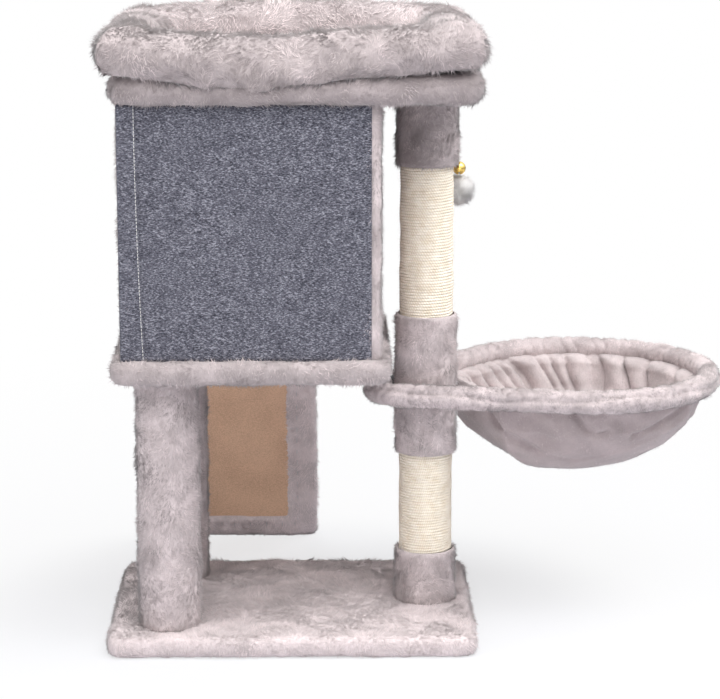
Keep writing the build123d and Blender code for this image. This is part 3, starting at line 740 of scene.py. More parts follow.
@dataclass(frozen=True)
class Facing:
    """The places that face far enough along a way."""

    way: Colour
    least: float = -0.5

    def __call__(self, spots: np.ndarray, normals: np.ndarray) -> np.ndarray:
        """Which of some places do."""
        return normals @ np.array(self.way) > self.least


@dataclass(frozen=True)
class PaintedFarLight:
    """How much paler a pile is painted towards the far side of its piece: painted light where the light from
    above falls on it.
    """

    gain: float
    over: float = 100 * MM

    def __call__(self, spots: np.ndarray) -> np.ndarray:
        """Steps of tone at some places."""
        return self.gain * np.clip(spots[:, 1] / self.over, 0.0, 1.0)


@dataclass(frozen=True)
class BrushedAndShadedEdges:
    """How much deeper the base's pile is along its left and far edges: partly where it lies brushed back,
    partly painted shade under the platform.
    """

    left: float = -120 * MM
    left_fade: float = 35 * MM
    left_depth: float = 3.4
    far: float = 75 * MM
    far_fade: float = 40 * MM
    far_depth: float = 1.6
    near: float = -125 * MM
    near_fade: float = 25 * MM

    def __call__(self, spots: np.ndarray) -> np.ndarray:
        """Steps of tone at some places."""
        across, along = spots[:, 0], spots[:, 1]
        left = np.clip((self.left - across) / self.left_fade, 0.0, 1.0)
        far = np.clip((along - self.far) / self.far_fade, 0.0, 1.0)
        edge = np.clip((along - self.near) / self.near_fade, 0.0, 1.0)
        return -edge * np.maximum(self.left_depth * left, self.far_depth * far)


def place_piece(made: Object, body: Body, slot: Slot, *nodes: str) -> Object:
    """Tell the frame what a piece rides on and hide the nodes it stands for; its material slot is not used.
    """
    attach(made, body.value)
    if nodes:
        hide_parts(*nodes)
    made.data.name = made.name
    log.info("%s rides on %s", made.name, body.value)
    return made


def wear(made: Object, *materials: Material) -> Object:
    """Give a new piece its materials in order."""
    for material in materials:
        made.data.materials.append(material)
    return made


def once(make: Callable[[], Material | list[Material]]) -> Material | list[Material]:
    """A field whose finish is made with the set that it belongs to."""
    return field(default_factory=make)


@dataclass
class Finishes:
    """Every finish of the tree, made once."""

    plush: Material = once(PlushFinish().ground)
    # Paler and darker copies of the one plush, picked by a pile's tone; where a piece's tone holds painted
    # light or shade, its cloth holds it too.
    pale_plush: Material = once(PlushFinish("pale_plush", (0.79, 0.69, 0.692)).ground)
    dusky_plush: Material = once(PlushFinish("dusky_plush", (0.51, 0.445, 0.447)).ground)
    deep_plush: Material = once(PlushFinish("deep_plush", (0.44, 0.382, 0.385)).ground)
    pile: list[Material] = once(PlushFinish().tones)
    # The same velour twice: the lining paler as painted light from above on the bowl's inside, the outside
    # darker as painted shade, with some difference of nap.
    lining: Material = once(PlushFinish("lit_lining", (0.67, 0.587, 0.585), spread=0.13).ground)
    shaded_velour: Material = once(PlushFinish("shaded_velour", (0.48, 0.403, 0.405), spread=0.1).ground)
    felt: Material = once(FeltFinish().material)
    rope: Material = once(SisalFinish("sisal_rope", lays=3270.0).rope)
    mat: Material = once(SisalFinish(
        "sisal_mat", hair=0.9 * MM, patch=18 * MM, relief=0.6 * MM, contrast=(0.35, 0.66)).woven)
    fibre: Material = once(SisalFinish("sisal").fibre)
    board: Material = once(GrainFinish("fibreboard", (0.80, 0.535, 0.365), (0.57, 0.36, 0.24)).material)
    card: Material = once(GrainFinish(
        "paper_tube", (0.45, 0.33, 0.22), (0.30, 0.21, 0.13), 0.9 * MM).material)
    wood: Material = once(GrainFinish(
        "wood_plug", (0.62, 0.46, 0.29), (0.42, 0.28, 0.16), 1.2 * MM, (0.15, 1.0, 1.0)).material)
    steel: Material = once(MetalFinish("steel", (0.62, 0.62, 0.63)).material)
    pompom: list[Material] = once(PlushFinish(
        "pompom", (0.92, 0.90, 0.89), (0.82, 0.88, 0.93, 0.97, 1.01, 1.05, 1.08)).tones)
    dark_steel: Material = once(MetalFinish("dark_steel", (0.07, 0.07, 0.075), 0.4).material)
    brass: Material = once(MetalFinish("gold_plated_brass", (0.86, 0.60, 0.17), 0.22).material)
    thread: Material = once(GrainFinish(
        "white_thread", (0.80, 0.79, 0.77), (0.55, 0.54, 0.52), 0.6 * MM).material)


@dataclass(frozen=True)
class Lamp:
    """A square soft box: where it stands, its side and its power."""

    name: str
    spot: Colour
    size: float
    power: float


@dataclass
class Studio:
    """Camera, pale floor and soft light."""

    camera_spot: Colour = (0.0372, -2.7140, 0.8773)
    pitch: float = 11.82
    yaw: float = 0.81
    lens: float = 124.66
    sensor: float = 36.0
    aim: Colour = (0.05, 0.0, 0.33)
    lamps: tuple[Lamp, ...] = (
        Lamp("front", (0.4, -2.6, 0.2), 1.4, 15.0),
        Lamp("left", (-2.2, -1.0, 1.2), 1.6, 23.0),
        Lamp("top", (0.0, -0.5, 2.9), 4.0, 47.0),
        Lamp("top_front", (0.3, -1.6, 2.5), 2.0, 48.0),
        Lamp("top_right", (1.6, -0.4, 2.3), 2.0, 55.0),
        Lamp("back", (-0.7, 2.8, 1.5), 1.8, 26.0),
    )
    surround: float = 0.06
    floor_half: float = 30.0
    floor_colour: Colour = (0.70, 0.705, 0.75)
    glow: float = 0.64
    glow_rises: tuple[tuple[float, float, float], ...] = ((0.24, 0.25, 0.45), (0.12, 0.4, 1.5))

    def build(self) -> None:
        """Set up camera, lamps, world and floor."""
        self._camera()
        for lamp in self.lamps:
            self._lamp(lamp)
        self._world()
        self._floor()
        bpy.context.scene.view_settings.view_transform = "Standard"

    def _camera(self) -> None:
        """The photograph's viewpoint."""
        data = bpy.data.cameras.new("viewpoint")
        data.lens, data.sensor_width, data.sensor_fit = self.lens, self.sensor, "HORIZONTAL"
        camera = bpy.data.objects.new("viewpoint", data)
        bpy.context.scene.collection.objects.link(camera)
        camera.location = self.camera_spot
        camera.rotation_euler = (math.radians(90 - self.pitch), 0.0, math.radians(-self.yaw))
        bpy.context.scene.camera = camera

    def _lamp(self, lamp: Lamp) -> None:
        """Set up a soft box aimed at the tree's middle."""
        data = bpy.data.lights.new(lamp.name, "AREA")
        data.size, data.energy = lamp.size, lamp.power
        made = bpy.data.objects.new(lamp.name, data)
        bpy.context.scene.collection.objects.link(made)
        made.location = lamp.spot
        made.rotation_euler = (Vector(self.aim) - made.location).to_track_quat("-Z", "Y").to_euler()

    def _world(self) -> None:
        """A white surround that lights the tree only faintly."""
        world = bpy.data.worlds.new("surround")
        graph = Graph("surround", world)
        rays = [graph.node("ShaderNodeLightPath", output=f"Is {ray} Ray") for ray in ("Camera", "Glossy")]
        seen = graph.node("ShaderNodeMath", {"operation": "MAXIMUM"}, dict(enumerate(rays)))
        level = graph.node("ShaderNodeMapRange", None, {
            "Value": seen, "To Min": self.surround, "To Max": 1.0})
        back = graph.node("ShaderNodeBackground", None, {"Color": WHITE, "Strength": level})
        bpy.context.scene.world = graph.close(back, "ShaderNodeOutputWorld")

    def _floor(self) -> None:
        """A wide pale floor that shows nearly white and keeps the shadow."""
        bm = bmesh.new()
        bmesh.ops.create_grid(bm, x_segments=1, y_segments=1, size=self.floor_half)
        floor = from_bmesh("floor", bm)
        graph = Graph("floor")
        share = graph.node("ShaderNodeLightPath", output="Is Camera Ray")
        matt = graph.node("ShaderNodeBsdfDiffuse", None, {"Color": self.floor_colour})
        glow = graph.node("ShaderNodeEmission", None, {"Color": WHITE, "Strength": 1.0})
        away = graph.node("ShaderNodeVectorMath", {"operation": "LENGTH"}, {0: graph.place()}, "Value")
        share *= sum((rise * graph.band(away, start, end) for rise, start, end in self.glow_rises), self.glow)
        wear(floor, graph.close(graph.node("ShaderNodeMixShader", None, {0: share, 1: matt, 2: glow})))


class Flat:
    """A flat node's own axes: its length, width and thickness from its middle."""

    def __init__(self, node: str) -> None:
        """Measure a node."""
        own = points_of(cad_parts[node].data)
        self.axes = np.linalg.svd(own - own.mean(axis=0), full_matrices=False)[2]
        along = own @ self.axes.T
        self.middle = (along.min(axis=0) + along.max(axis=0)) / 2
        self.half = np.ptp(along, axis=0) / 2

    def inner(self, points: np.ndarray) -> np.ndarray:
        """Places in the node's own axes."""
        return points @ self.axes.T - self.middle

    def outer(self, points: np.ndarray) -> np.ndarray:
        """Places given in the node's own axes, in the tree's."""
        return (points + self.middle) @ self.axes


@dataclass
class WrappedPanel:
    """A board wrapped in plush: base, platforms, condo walls and ramp."""

    name: str
    nodes: tuple[str, str]
    seed: int
    pile: Pile = Pile()
    rises: tuple[tuple[float, float], ...] = ((0.5 * MM, 55 * MM), (0.3 * MM, 16 * MM))
    keep: Mask | None = None
    bare_side: Colour | None = None
    bare_depth: float = 1.6 * MM
    bare_facing: float = 0.5
    fold: float = 24 * MM
    voxel: float = 4 * MM

    def build(self) -> None:
        """Make the cover from the space that board and plush fill, and grow its pile."""
        self.cover = soft_copy(f"{self.name}_cover", self.nodes, self.voxel)
        self.flat = Flat(self.nodes[1])
        if self.bare_side is not None:
            self.bare_sign = np.sign(self.flat.axes[2] @ np.array(self.bare_side))
            self._bare()
        ruffle(self.cover, self.rises, self.seed)
        points = points_of(self.cover.data)
        points[:, 2] = np.maximum(points[:, 2], 0.0)
        move_points(self.cover.data, points)
        self._fasten()
        self.fur = self.pile.grow(f"{self.name}_pile", self.cover, self.seed, self._has_pile)

    def _fasten(self) -> None:
        """Hold the cover down; here nothing shows of it."""

    def _inside(self, spots: np.ndarray) -> np.ndarray:
        """Which places, in the board's axes, the folds leave free."""
        return (np.abs(spots[:, :2]) < self.flat.half[:2] - self.fold).all(axis=1)

    def _bare(self) -> None:
        """Sink the cover into the board where the plush leaves it bare."""
        points, normals = points_of(self.cover.data), normals_of(self.cover.data)
        spots, way = self.flat.inner(points), self.flat.axes[2] * self.bare_sign
        level = np.abs(spots[:, 2] * self.bare_sign - self.flat.half[2]) < self.bare_depth
        bare = level & self._inside(spots) & (normals @ way > self.bare_facing)
        points[bare] -= way * (2 * self.bare_depth)
        move_points(self.cover.data, points)

    def _has_pile(self, spots: np.ndarray, normals: np.ndarray) -> np.ndarray:
        """Where pile grows: not on the bare board, nor where the panel says."""
        kept = np.ones(len(spots), bool) if self.keep is None else self.keep(spots, normals)
        if self.bare_side is not None:
            inner = self.flat.inner(spots)
            depth = inner[:, 2] * self.bare_sign
            kept &= ~(self._inside(inner) & (depth > 0) & (depth < self.flat.half[2] + self.bare_depth / 2))
        return kept

    def dress(self, finishes: Finishes) -> None:
        place_piece(wear(self.cover, self.pile.ground(finishes)), Body.STAND, Slot.PLUSH, self.nodes[0])
        place_piece(wear(self.fur, *finishes.pile), Body.STAND, Slot.PLUSH)


@dataclass
class RampPanel(WrappedPanel):
    """The ramp: its plush is folded over the board's back and stapled there."""

    step: float = 19 * MM
    inset: float = 19 * MM
    dimple: float = 2.6 * MM
    dimple_reach: float = 5 * MM
    crown: float = 10 * MM
    wire: float = 1 * MM

    def _fasten(self) -> None:
        """Press a dimple at each staple and lay the staples in them."""
        far = self.flat.half[:2] - self.inset
        along, across = (np.arange(-reach, reach, self.step) for reach in far)
        rows = [(x, side * far[1]) for side in (-1, 1) for x in along]
        rows += [(side * far[0], y) for side in (-1, 1) for y in across]
        points = points_of(self.cover.data)
        inner = self.flat.inner(points)
        back = np.flatnonzero(inner[:, 2] * self.bare_sign > 0)
        found = [back[np.argmin(((inner[back, :2] - row) ** 2).sum(axis=1))] for row in np.array(rows)]
        dent(self.cover, [(points[found], self.dimple, self.dimple_reach)])
        out = self.flat.axes[2] * self.bare_sign * self.wire
        self.wires = self._staples(points_of(self.cover.data)[found] + out)

    def _staples(self, spots: np.ndarray) -> Object:
        """Wire crowns at some places, each lying along the ramp."""
        size = Matrix.Diagonal((self.wire, self.wire, self.crown, 1.0))
        turn = Vector(self.flat.axes[0]).to_track_quat("Z", "Y").to_matrix().to_4x4()
        bm = bmesh.new()
        for spot in spots:
            bmesh.ops.create_uvsphere(bm, u_segments=8, v_segments=6, radius=0.5,
                                      matrix=Matrix.Translation(spot) @ turn @ size)
        return from_bmesh("ramp_staples", bm)

    def dress(self, finishes: Finishes) -> None:
        super().dress(finishes)
        place_piece(wear(self.wires, finishes.steel), Body.STAND, Slot.STEEL)


@dataclass
class Sleeve:
    """Plush rolled round a post: a tall sleeve, or a collar over a winding's end."""

    name: str
    node: str
    seed: int
    wall: float = 6 * MM
    lip: float = 3 * MM
    cells: tuple[int, int] = (84, 72)
    rises: tuple[tuple[float, float], ...] = ((0.3 * MM, 40 * MM), (0.25 * MM, 14 * MM))
    pile: Pile = Pile(density=335_000.0, width=0.95 * MM, sweep=45 * MM, lean=66.0, tone=2.6)
    trimmed: bool = False
    shares: tuple[float, ...] = (0.0, 0.05, 0.08, 0.92, 0.95, 1.0)
    rounding: float = 0.3
    upright: float = 0.85

    def build(self) -> None:
        """Roll the sheet, with its ends turned in, and grow its pile."""
        low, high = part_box(self.node)
        middle, radius = (low + high) / 2, (high.x - low.x) / 2
        radii = [radius - part for part in (self.wall, self.rounding * self.lip, 0.0)]
        radii += radii[::-1]
        levels = (low.z, low.z, low.z + self.lip, high.z - self.lip, high.z, high.z)

        def place(u: float, v: float) -> Vector:
            """A point of the rolled sheet."""
            reach, angle = np.interp(v, self.shares, radii), u * math.tau
            return Vector((middle.x + reach * math.cos(angle), middle.y + reach * math.sin(angle),
                           np.interp(v, self.shares, levels)))

        self.cover = ruffle(mapped_sheet(f"{self.name}_cover", self.cells, place), self.rises, self.seed)
        points = points_of(self.cover.data)
        points[:, 2] = np.clip(points[:, 2], low.z, high.z)
        move_points(self.cover.data, points)
        pile = replace(self.pile, floor=low.z, ceiling=high.z) if self.trimmed else self.pile
        self.fur = pile.grow(f"{self.name}_pile", self.cover, self.seed,
                             lambda spots, normals: np.abs(normals[:, 2]) < self.upright)

    def dress(self, finishes: Finishes) -> None:
        place_piece(wear(self.cover, self.pile.ground(finishes)), Body.STAND, Slot.PLUSH, self.node)
        place_piece(wear(self.fur, *finishes.pile), Body.STAND, Slot.PLUSH)


@dataclass
class Winding:
    """Sisal rope wound on a post in close turns."""

    name: str
    node: str
    collars: tuple[str, str]
    seed: int
    pitch: float = 3.28 * MM
    depth: float = 6.2 * MM
    steps: int = 48
    lap: float = 4 * MM
    wander: float = 25 * MM
    sink: float = 0.25 * MM
    sway: float = 0.12 * MM
    weld: float = 0.002 * MM
    arc_steps: int = 6
    taper: float = 0.9
    facing: float = 0.6
    tones: int = 7
    fibres: Pile = Pile(length=5 * MM, width=0.22 * MM, density=26_000.0, lean=62.0, fall=(0.0, 0.0, 0.0),
                        sweep=12 * MM)

    def build(self) -> None:
        """Sweep the rope's section along its helix, its ends closed under the collars."""
        low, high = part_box(self.node)
        bottom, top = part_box(self.collars[0])[1].z - self.lap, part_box(self.collars[1])[0].z + self.lap
        middle, outer = (low + high) / 2, (high.x - low.x) / 2
        turns, half = round((top - bottom) / self.pitch), 0.5 * self.pitch
        round_part = [math.radians(-90 + 180 / self.arc_steps * k) for k in range(self.arc_steps + 1)]
        section = [(half * math.cos(a) - half, half * math.sin(a)) for a in round_part]
        section += [(-self.depth, side * self.taper * half) for side in (1, -1)] + section[:1]
        inward, upward = zip(*section)
        corner = np.linspace(0.0, 1.0, len(section))
        drift = Waves(self.wander, self.seed)

        def place(u: float, v: float) -> Vector:
            """A point of the rope's surface."""
            angle, end = v * turns * math.tau, min(1.0, min(v, 1 - v) * turns * self.steps)
            level = bottom + half + v * (top - bottom - 2 * half)
            lean = drift(np.array([[math.cos(angle) * outer, math.sin(angle) * outer, level]]))[0]
            reach = outer - self.sink * (1 + lean) + np.interp(u, corner, inward) * end
            spot = Vector((math.cos(angle) * reach, math.sin(angle) * reach, 0.0))
            spot.z = level + np.interp(u, corner, upward) * end + self.sway * lean
            return spot + Vector((middle.x, middle.y, 0.0))

        self.rope = mapped_sheet(self.name, (len(section) - 1, turns * self.steps), place, self.weld)
        self.fluff = self.fibres.grow(f"{self.name}_fibres", self.rope, self.seed, self._outside)

    def _outside(self, spots: np.ndarray, normals: np.ndarray) -> np.ndarray:
        """Fibres only stand up from the winding's outside."""
        away = spots[:, :2] - points_of(self.rope.data)[:, :2].mean(axis=0)
        return (unit(away) * normals[:, :2]).sum(axis=1) > self.facing

    def dress(self, finishes: Finishes) -> None:
        place_piece(wear(self.rope, finishes.rope), Body.STAND, Slot.SISAL, self.node)
        place_piece(wear(self.fluff, *[finishes.fibre] * self.tones), Body.STAND, Slot.SISAL)


@dataclass
class FeltBack:
    """The felt that closes the condo's back, hemmed on one side and stitched along the hem."""

    node: str = "condo_back_felt"
    hem: float = 22 * MM
    hem_drift: float = 6 * MM
    hem_start: float = 0.4
    proud: float = 2 * MM
    thick: float = 2.6 * MM
    slack: float = 0.5 * MM
    stitch: float = 3.2 * MM
    stitch_gap: float = 0.6 * MM
    stitch_inset: float = 1.6 * MM
    stitch_width: float = 0.9 * MM
    stitch_height: float = 0.7 * MM
    margin: float = 3 * MM
    billow: float = 110 * MM
    held_edge: float = 1 / 6
    roll: float = 0.8 * MM
    roll_edge: float = 0.08
    cells: tuple[int, int] = (60, 60)
    hem_cells: tuple[int, int] = (14, 70)

    def build(self) -> None:
        """Lay the sheet, its hem and the stitches."""
        low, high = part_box(self.node)
        wave, self.flat = Waves(self.billow, seed=61), (high.x - low.x, high.z - low.z)
        face = low.y + self.proud

        def hem_edge(level: float) -> float:
            """How far the hem reaches at a height."""
            share = (high.z - level) / (high.z - low.z)
            return low.x + self.hem - self.hem_start * self.hem_drift + self.hem_drift * share ** 2

        def sheet(u: float, v: float) -> Vector:
            """A point of the stretched sheet's middle."""
            spot = Vector((low.x + u * (high.x - low.x), face + self.thick / 2, low.z + v * (high.z - low.z)))
            held = min(1.0, min(u, 1 - u, v, 1 - v) / self.held_edge)
            spot.y += self.slack * held * wave(np.array([spot]))[0]
            return spot

        def strip(u: float, v: float) -> Vector:
            """A point of the turned-over hem's middle."""
            level = low.z + v * (high.z - low.z)
            edge = min(u, 1 - u)
            sink = self.roll * max(0.0, 1 - edge / self.roll_edge) ** 2
            return Vector((low.x + u * (hem_edge(level) - low.x), face - self.proud / 2 + sink, level))

        self.sheet = self._thickened(mapped_sheet("felt_back", self.cells, sheet), self.thick)
        self.strip = self._thickened(mapped_sheet("felt_hem", self.hem_cells, strip), self.proud)
        self.stitches = self._stitches(low, high, face - self.proud, hem_edge)

    @staticmethod
    def _thickened(made: Object, thick: float) -> Object:
        """Give a sheet its thickness, half to each side."""
        solid = made.modifiers.new("thickness", "SOLIDIFY")
        solid.thickness, solid.offset = thick, 0.0
        return applied(made)

    def _stitches(self, low: Vector, high: Vector, face: float, edge: Callable[[float], float]) -> Object:
        """Dashes of thread along the hem's edge."""
        bm = bmesh.new()
        size = Matrix.Diagonal((self.stitch_width, self.stitch_height, self.stitch, 1.0))
        level = low.z + self.margin
        while level < high.z - self.margin:
            spot = Matrix.Translation((edge(level) - self.stitch_inset, face, level + self.stitch / 2))
            bmesh.ops.create_uvsphere(bm, u_segments=6, v_segments=4, radius=0.5, matrix=spot @ size)
            level += self.stitch + self.stitch_gap
        return from_bmesh("felt_stitches", bm)

    def dress(self, finishes: Finishes) -> None:
        place_piece(wear(self.sheet, finishes.felt), Body.STAND, Slot.FELT, self.node)
        place_piece(wear(self.strip, finishes.felt), Body.STAND, Slot.FELT)
        place_piece(wear(self.stitches, finishes.thread), Body.STAND, Slot.FELT)


@dataclass
class Bed:
    """The stuffed roll round the top bed and the pad in its middle."""

    voxel: float = 5 * MM
    nap: float = 3.5 * MM
    edge: float = -148 * MM
    sag_spots: tuple[float, ...] = (-0.185, -0.149, -0.086, -0.029, 0.048, 0.115, 0.188)
    sags: tuple[float, ...] = (0.0, 4 * MM, 11 * MM, 12 * MM, 6 * MM, 2 * MM, -4 * MM)
    near: float = -95 * MM
    near_fade: float = 30 * MM
    roll_height: float = 50 * MM
    low_sag: float = 0.5
    overhang: float = 0.15
    held: float = 2 * MM
    bald: float = 3 * MM
    lift: float = 0.2 * MM
    rises: tuple[tuple[float, float], ...] = ((0.5 * MM, 30 * MM),)
    roll_filling: Filling = Filling(2.2, 0.035, 7 * MM)
    pad_filling: Filling = Filling(1.2, 0.02, 4 * MM)
    # The roll's pile is painted paler towards the back roll: painted light where the light from above falls
    # on its inner side.
    pile: Pile = Pile(length=7.5 * MM, width=0.95 * MM, density=195_000.0, lean=67.0, tone=1.5,
                      shade=PaintedFarLight(3.4))
    pad_pile: Pile = Pile(density=200_000.0, tone=4.0)

    def build(self) -> None:
        """Fill both and grow their pile."""
        self.roll = self._sagged(self._filled("bed_bolster", "bolster", self.roll_filling, seed=71))
        self.pad = self._filled("bed_pad", "bed_cushion", self.pad_filling, seed=75)
        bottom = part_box("bed_bolster")[0].z + self.bald
        self.roll_fur = self.pile.grow(
            "bolster_pile", self.roll, seed=72,
            keep=lambda spots, normals: (spots[:, 2] > bottom) | (spots[:, 1] < self.edge))
        self.pad_fur = self.pad_pile.grow("bed_cushion_pile", self.pad, seed=76,
                                          keep=Facing((0.0, 0.0, 1.0), 0.2))

    def _filled(self, node: str, name: str, filling: Filling, seed: int) -> Object:
        """A node's soft copy, swelled, smoothed and ruffled."""
        made = soft_copy(name, (node,), self.voxel)
        points = points_of(made.data)
        filling.swell(made, points[:, 2] < points[:, 2].min() + self.held)
        finer = made.modifiers.new("smooth", "SUBSURF")
        finer.levels = finer.render_levels = 1
        applied(made)
        made.data.polygons.foreach_set("use_smooth", [True] * len(made.data.polygons))
        ruffle(made, self.rises, seed)
        points = points_of(made.data) - normals_of(made.data) * self.nap
        points[:, 2] = np.maximum(points[:, 2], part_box(node)[0].z + self.lift)
        move_points(made.data, points)
        return made

    def _sagged(self, roll: Object) -> Object:
        """Let the near side of the roll sink and hang over the platform's edge."""
        points = points_of(roll.data)
        near = np.clip((self.near - points[:, 1]) / self.near_fade, 0.0, 1.0)
        sag = np.interp(points[:, 0], self.sag_spots, self.sags) * near
        lowest = np.where(points[:, 1] > self.edge, points[:, 2].min(), -math.inf)
        height = np.clip((points[:, 2] - points[:, 2].min()) / self.roll_height, 0.0, 1.0)
        points[:, 2] = np.maximum(points[:, 2] - sag * (1 + self.low_sag - self.low_sag * height), lowest)
        points[:, 1] -= np.maximum(0.0, sag) * self.overhang * near
        move_points(roll.data, points)
        return roll

    def dress(self, finishes: Finishes) -> None:
        place_piece(wear(self.roll, self.pile.ground(finishes)), Body.STAND, Slot.STUFFED, "bed_bolster")
        place_piece(wear(self.pad, finishes.plush), Body.STAND, Slot.STUFFED, "bed_pad")
        place_piece(wear(self.roll_fur, *finishes.pile), Body.STAND, Slot.STUFFED)
        place_piece(wear(self.pad_fur, *finishes.pile), Body.STAND, Slot.STUFFED)


@dataclass(frozen=True)
class Fold:
    """A crease in the bowl's outer cloth, by angle in degrees and share of the way down."""

    places: tuple[tuple[float, float], ...]
    depth: float
    width: float


@dataclass
class Hammock:
    """A bowl of plush, gathered inside and creased outside, sewn to a stuffed rim on the wire loop."""

    post: tuple[float, float] = (149 * MM, 0.0)
    level: float = 267 * MM
    turn: float = 19.5
    ring_distance: float = 190 * MM
    ring_radius: float = 146 * MM
    end_offset: float = 14 * MM
    end_radius: float = 44 * MM
    flare: float = 30.0
    rim_radius: float = 12 * MM
    opening: float = 18 * MM
    opening_along: float = 14 * MM
    hem: float = 46 * MM
    lowest: float = 166 * MM
    cloth: float = 2.6 * MM
    filling: float = 6.5 * MM
    shares: tuple[float, ...] = (0.0, 0.06, 0.14, 0.32, 0.54, 0.74, 0.88, 1.0)
    insets: tuple[float, ...] = (11.0, 9.0, 7.0, 6.0, 6.0, 6.0, 6.0, 6.0)
    spans: tuple[float, ...] = (1.0, 1.0, 0.985, 0.93, 0.78, 0.55, 0.30, 0.0)
    drops: tuple[float, ...] = (4.0, 11.0, 20.0, 42.0, 66.0, 86.0, 97.0, 99.5)
    tucks: tuple[float, ...] = (
        -12.0, 5.0, 27.0, 42.0, 56.0, 63.0, 74.0, 82.0, 90.0, 106.0, 111.0, 117.0, 123.0, 131.0, 141.0,
        152.0, 164.0, 176.0, 188.0, 199.0, 212.0, 221.0, 234.0, 245.0, 253.0, 267.0, 279.0, 288.0, 302.0,
        316.0, 325.0, 337.0, 348.0,
    )
    pockets: tuple[tuple[float, float], ...] = ((56.0, 0.15), (106.0, 0.0))
    facing: tuple[tuple[float, float], ...] = (
        (196, 1.0), (204, 0.42), (212, 0.40), (225, 0.56), (245, 0.64), (260, 0.58), (281, 0.42), (296, 0.28),
        (308, 0.16), (316, 1.0))
    folds: tuple[Fold, ...] = (
        Fold(((199, 0.14), (209, 0.27), (212, 0.35), (223, 0.55)), 6 * MM, 5 * MM),
        Fold(((243, 0.10), (247, 0.22), (253, 0.32), (258, 0.31)), 6 * MM, 5 * MM),
        Fold(((274, 0.36), (290, 0.22), (304, 0.12)), 5 * MM, 4 * MM),
        Fold(((220, 0.18),), 7 * MM, 17 * MM),
        Fold(((229, 0.12), (234, 0.26)), -4 * MM, 9 * MM),
        Fold(((226, 0.37),), 6 * MM, 14 * MM),
        Fold(((236, 0.46), (240, 0.50)), -2 * MM, 12 * MM),
        Fold(((263, 0.17), (268, 0.24)), 6 * MM, 17 * MM),
        Fold(((320, 0.2), (318, 0.55)), 4 * MM, 12 * MM),
        Fold(((352, 0.25), (345, 0.6)), 5 * MM, 10 * MM),
        Fold(((20, 0.2), (28, 0.6)), 5 * MM, 12 * MM),
        Fold(((62, 0.2), (50, 0.6)), 4 * MM, 9 * MM),
        Fold(((98, 0.2), (104, 0.6)), 5 * MM, 12 * MM),
        Fold(((140, 0.2), (128, 0.55)), 4 * MM, 10 * MM),
        Fold(((40, 0.62), (75, 0.66), (110, 0.6)), 3 * MM, 5 * MM),
    )
    rim_cells: tuple[int, int] = (26, 760)
    rim_rises: tuple[tuple[float, float], ...] = ((0.35 * MM, 16 * MM),)
    rim_fullness: float = 1.06
    rim_end: float = 6 * MM
    pucker_depth: float = 0.20
    pucker_width: float = 2.2 * MM
    pucker_twist: float = 4 * MM
    pucker_steps: tuple[float, float] = (9 * MM, 30 * MM)
    puckers: int = 80
    crease_depth: float = 0.28
    crease_width: float = 0.12
    crease_at: float = 0.35
    crease_drifts: tuple[tuple[float, float], ...] = ((0.25, 26.0), (0.12, 71.0))
    pucker_turns: float = 30.0
    ring_steps: int = 400
    end_steps: int = 120
    fold_steps: int = 16
    seam: float = 0.05
    seam_slack: float = 0.1
    closing: float = 0.15
    lining_cells: tuple[int, int] = (480, 60)
    outside_cells: tuple[int, int] = (480, 44)
    lining_run: float = 1.6
    puff_height: float = 13 * MM
    puff_share: float = 0.45
    puff_heights: tuple[float, float] = (0.75, 1.15)
    skew: float = 22.0
    more_skew: float = 30.0
    more_skew_at: float = 105.0
    more_skew_over: float = 22.0
    drift: float = 1.5
    drift_waves: float = 7.0
    drift_turns: float = 12.0
    drift_from: float = 0.1
    puff_from: float = 0.09
    puff_fade: float = 0.92
    fade_from: float = 0.25
    fade_over: float = 0.5
    puff_lift: float = 0.5
    lift_over: float = 0.2
    filling_edge: float = 0.1
    lap: float = 2.4 * MM
    lap_edge: float = 0.025
    # The rim's pile is dark at the front and painted paler towards the back: painted light where the light
    # from above falls on the rim's back.
    rim_pile: Pile = Pile(length=3.4 * MM, width=0.55 * MM, density=370_000.0, lean=64.0, tone=0.7,
                          shade=PaintedFarLight(3.7))
    bowl_pile: Pile = Pile(length=2.6 * MM, width=0.6 * MM, density=92_000.0, lean=66.0, sweep=40 * MM,
                           tone=1.4)

    def build(self) -> None:
        """Make rim and bowl and grow their pile."""
        self._lay_loop()
        self.rim = mapped_sheet("hammock_rim_roll", self.rim_cells, self._rim_point)
        ruffle(self.rim, self.rim_rises, seed=81)
        heights = np.random.default_rng(seed=84).uniform(*self.puff_heights, len(self.tucks))
        self.puffs = dict(zip(self.tucks, heights))
        self.puffs.update(self.pockets)
        lining = mapped_sheet("bowl_lining", self.lining_cells,
                              lambda u, v: self._lining_point(u * 360.0, v**self.lining_run))
        outside = mapped_sheet("bowl_outside", self.outside_cells,
                               lambda u, v: self._outside_point(u * 360.0, v))
        outside.data.polygons.foreach_set("material_index", [1] * len(outside.data.polygons))
        self.bowl = welded("hammock_bowl_cloth", lining, self._creased(outside))
        self.rim_fur = self.rim_pile.grow("hammock_rim_pile", self.rim, seed=82)
        self.bowl_fur = self.bowl_pile.grow("hammock_bowl_pile", self.bowl, seed=83)

    def world(self, x: float, y: float, z: float) -> Vector:
        """From the loop's own axes to the tree's."""
        turn = math.radians(self.turn)
        return Vector((self.post[0] + x * math.cos(turn) - y * math.sin(turn),
                       self.post[1] + x * math.sin(turn) + y * math.cos(turn), self.level + z))

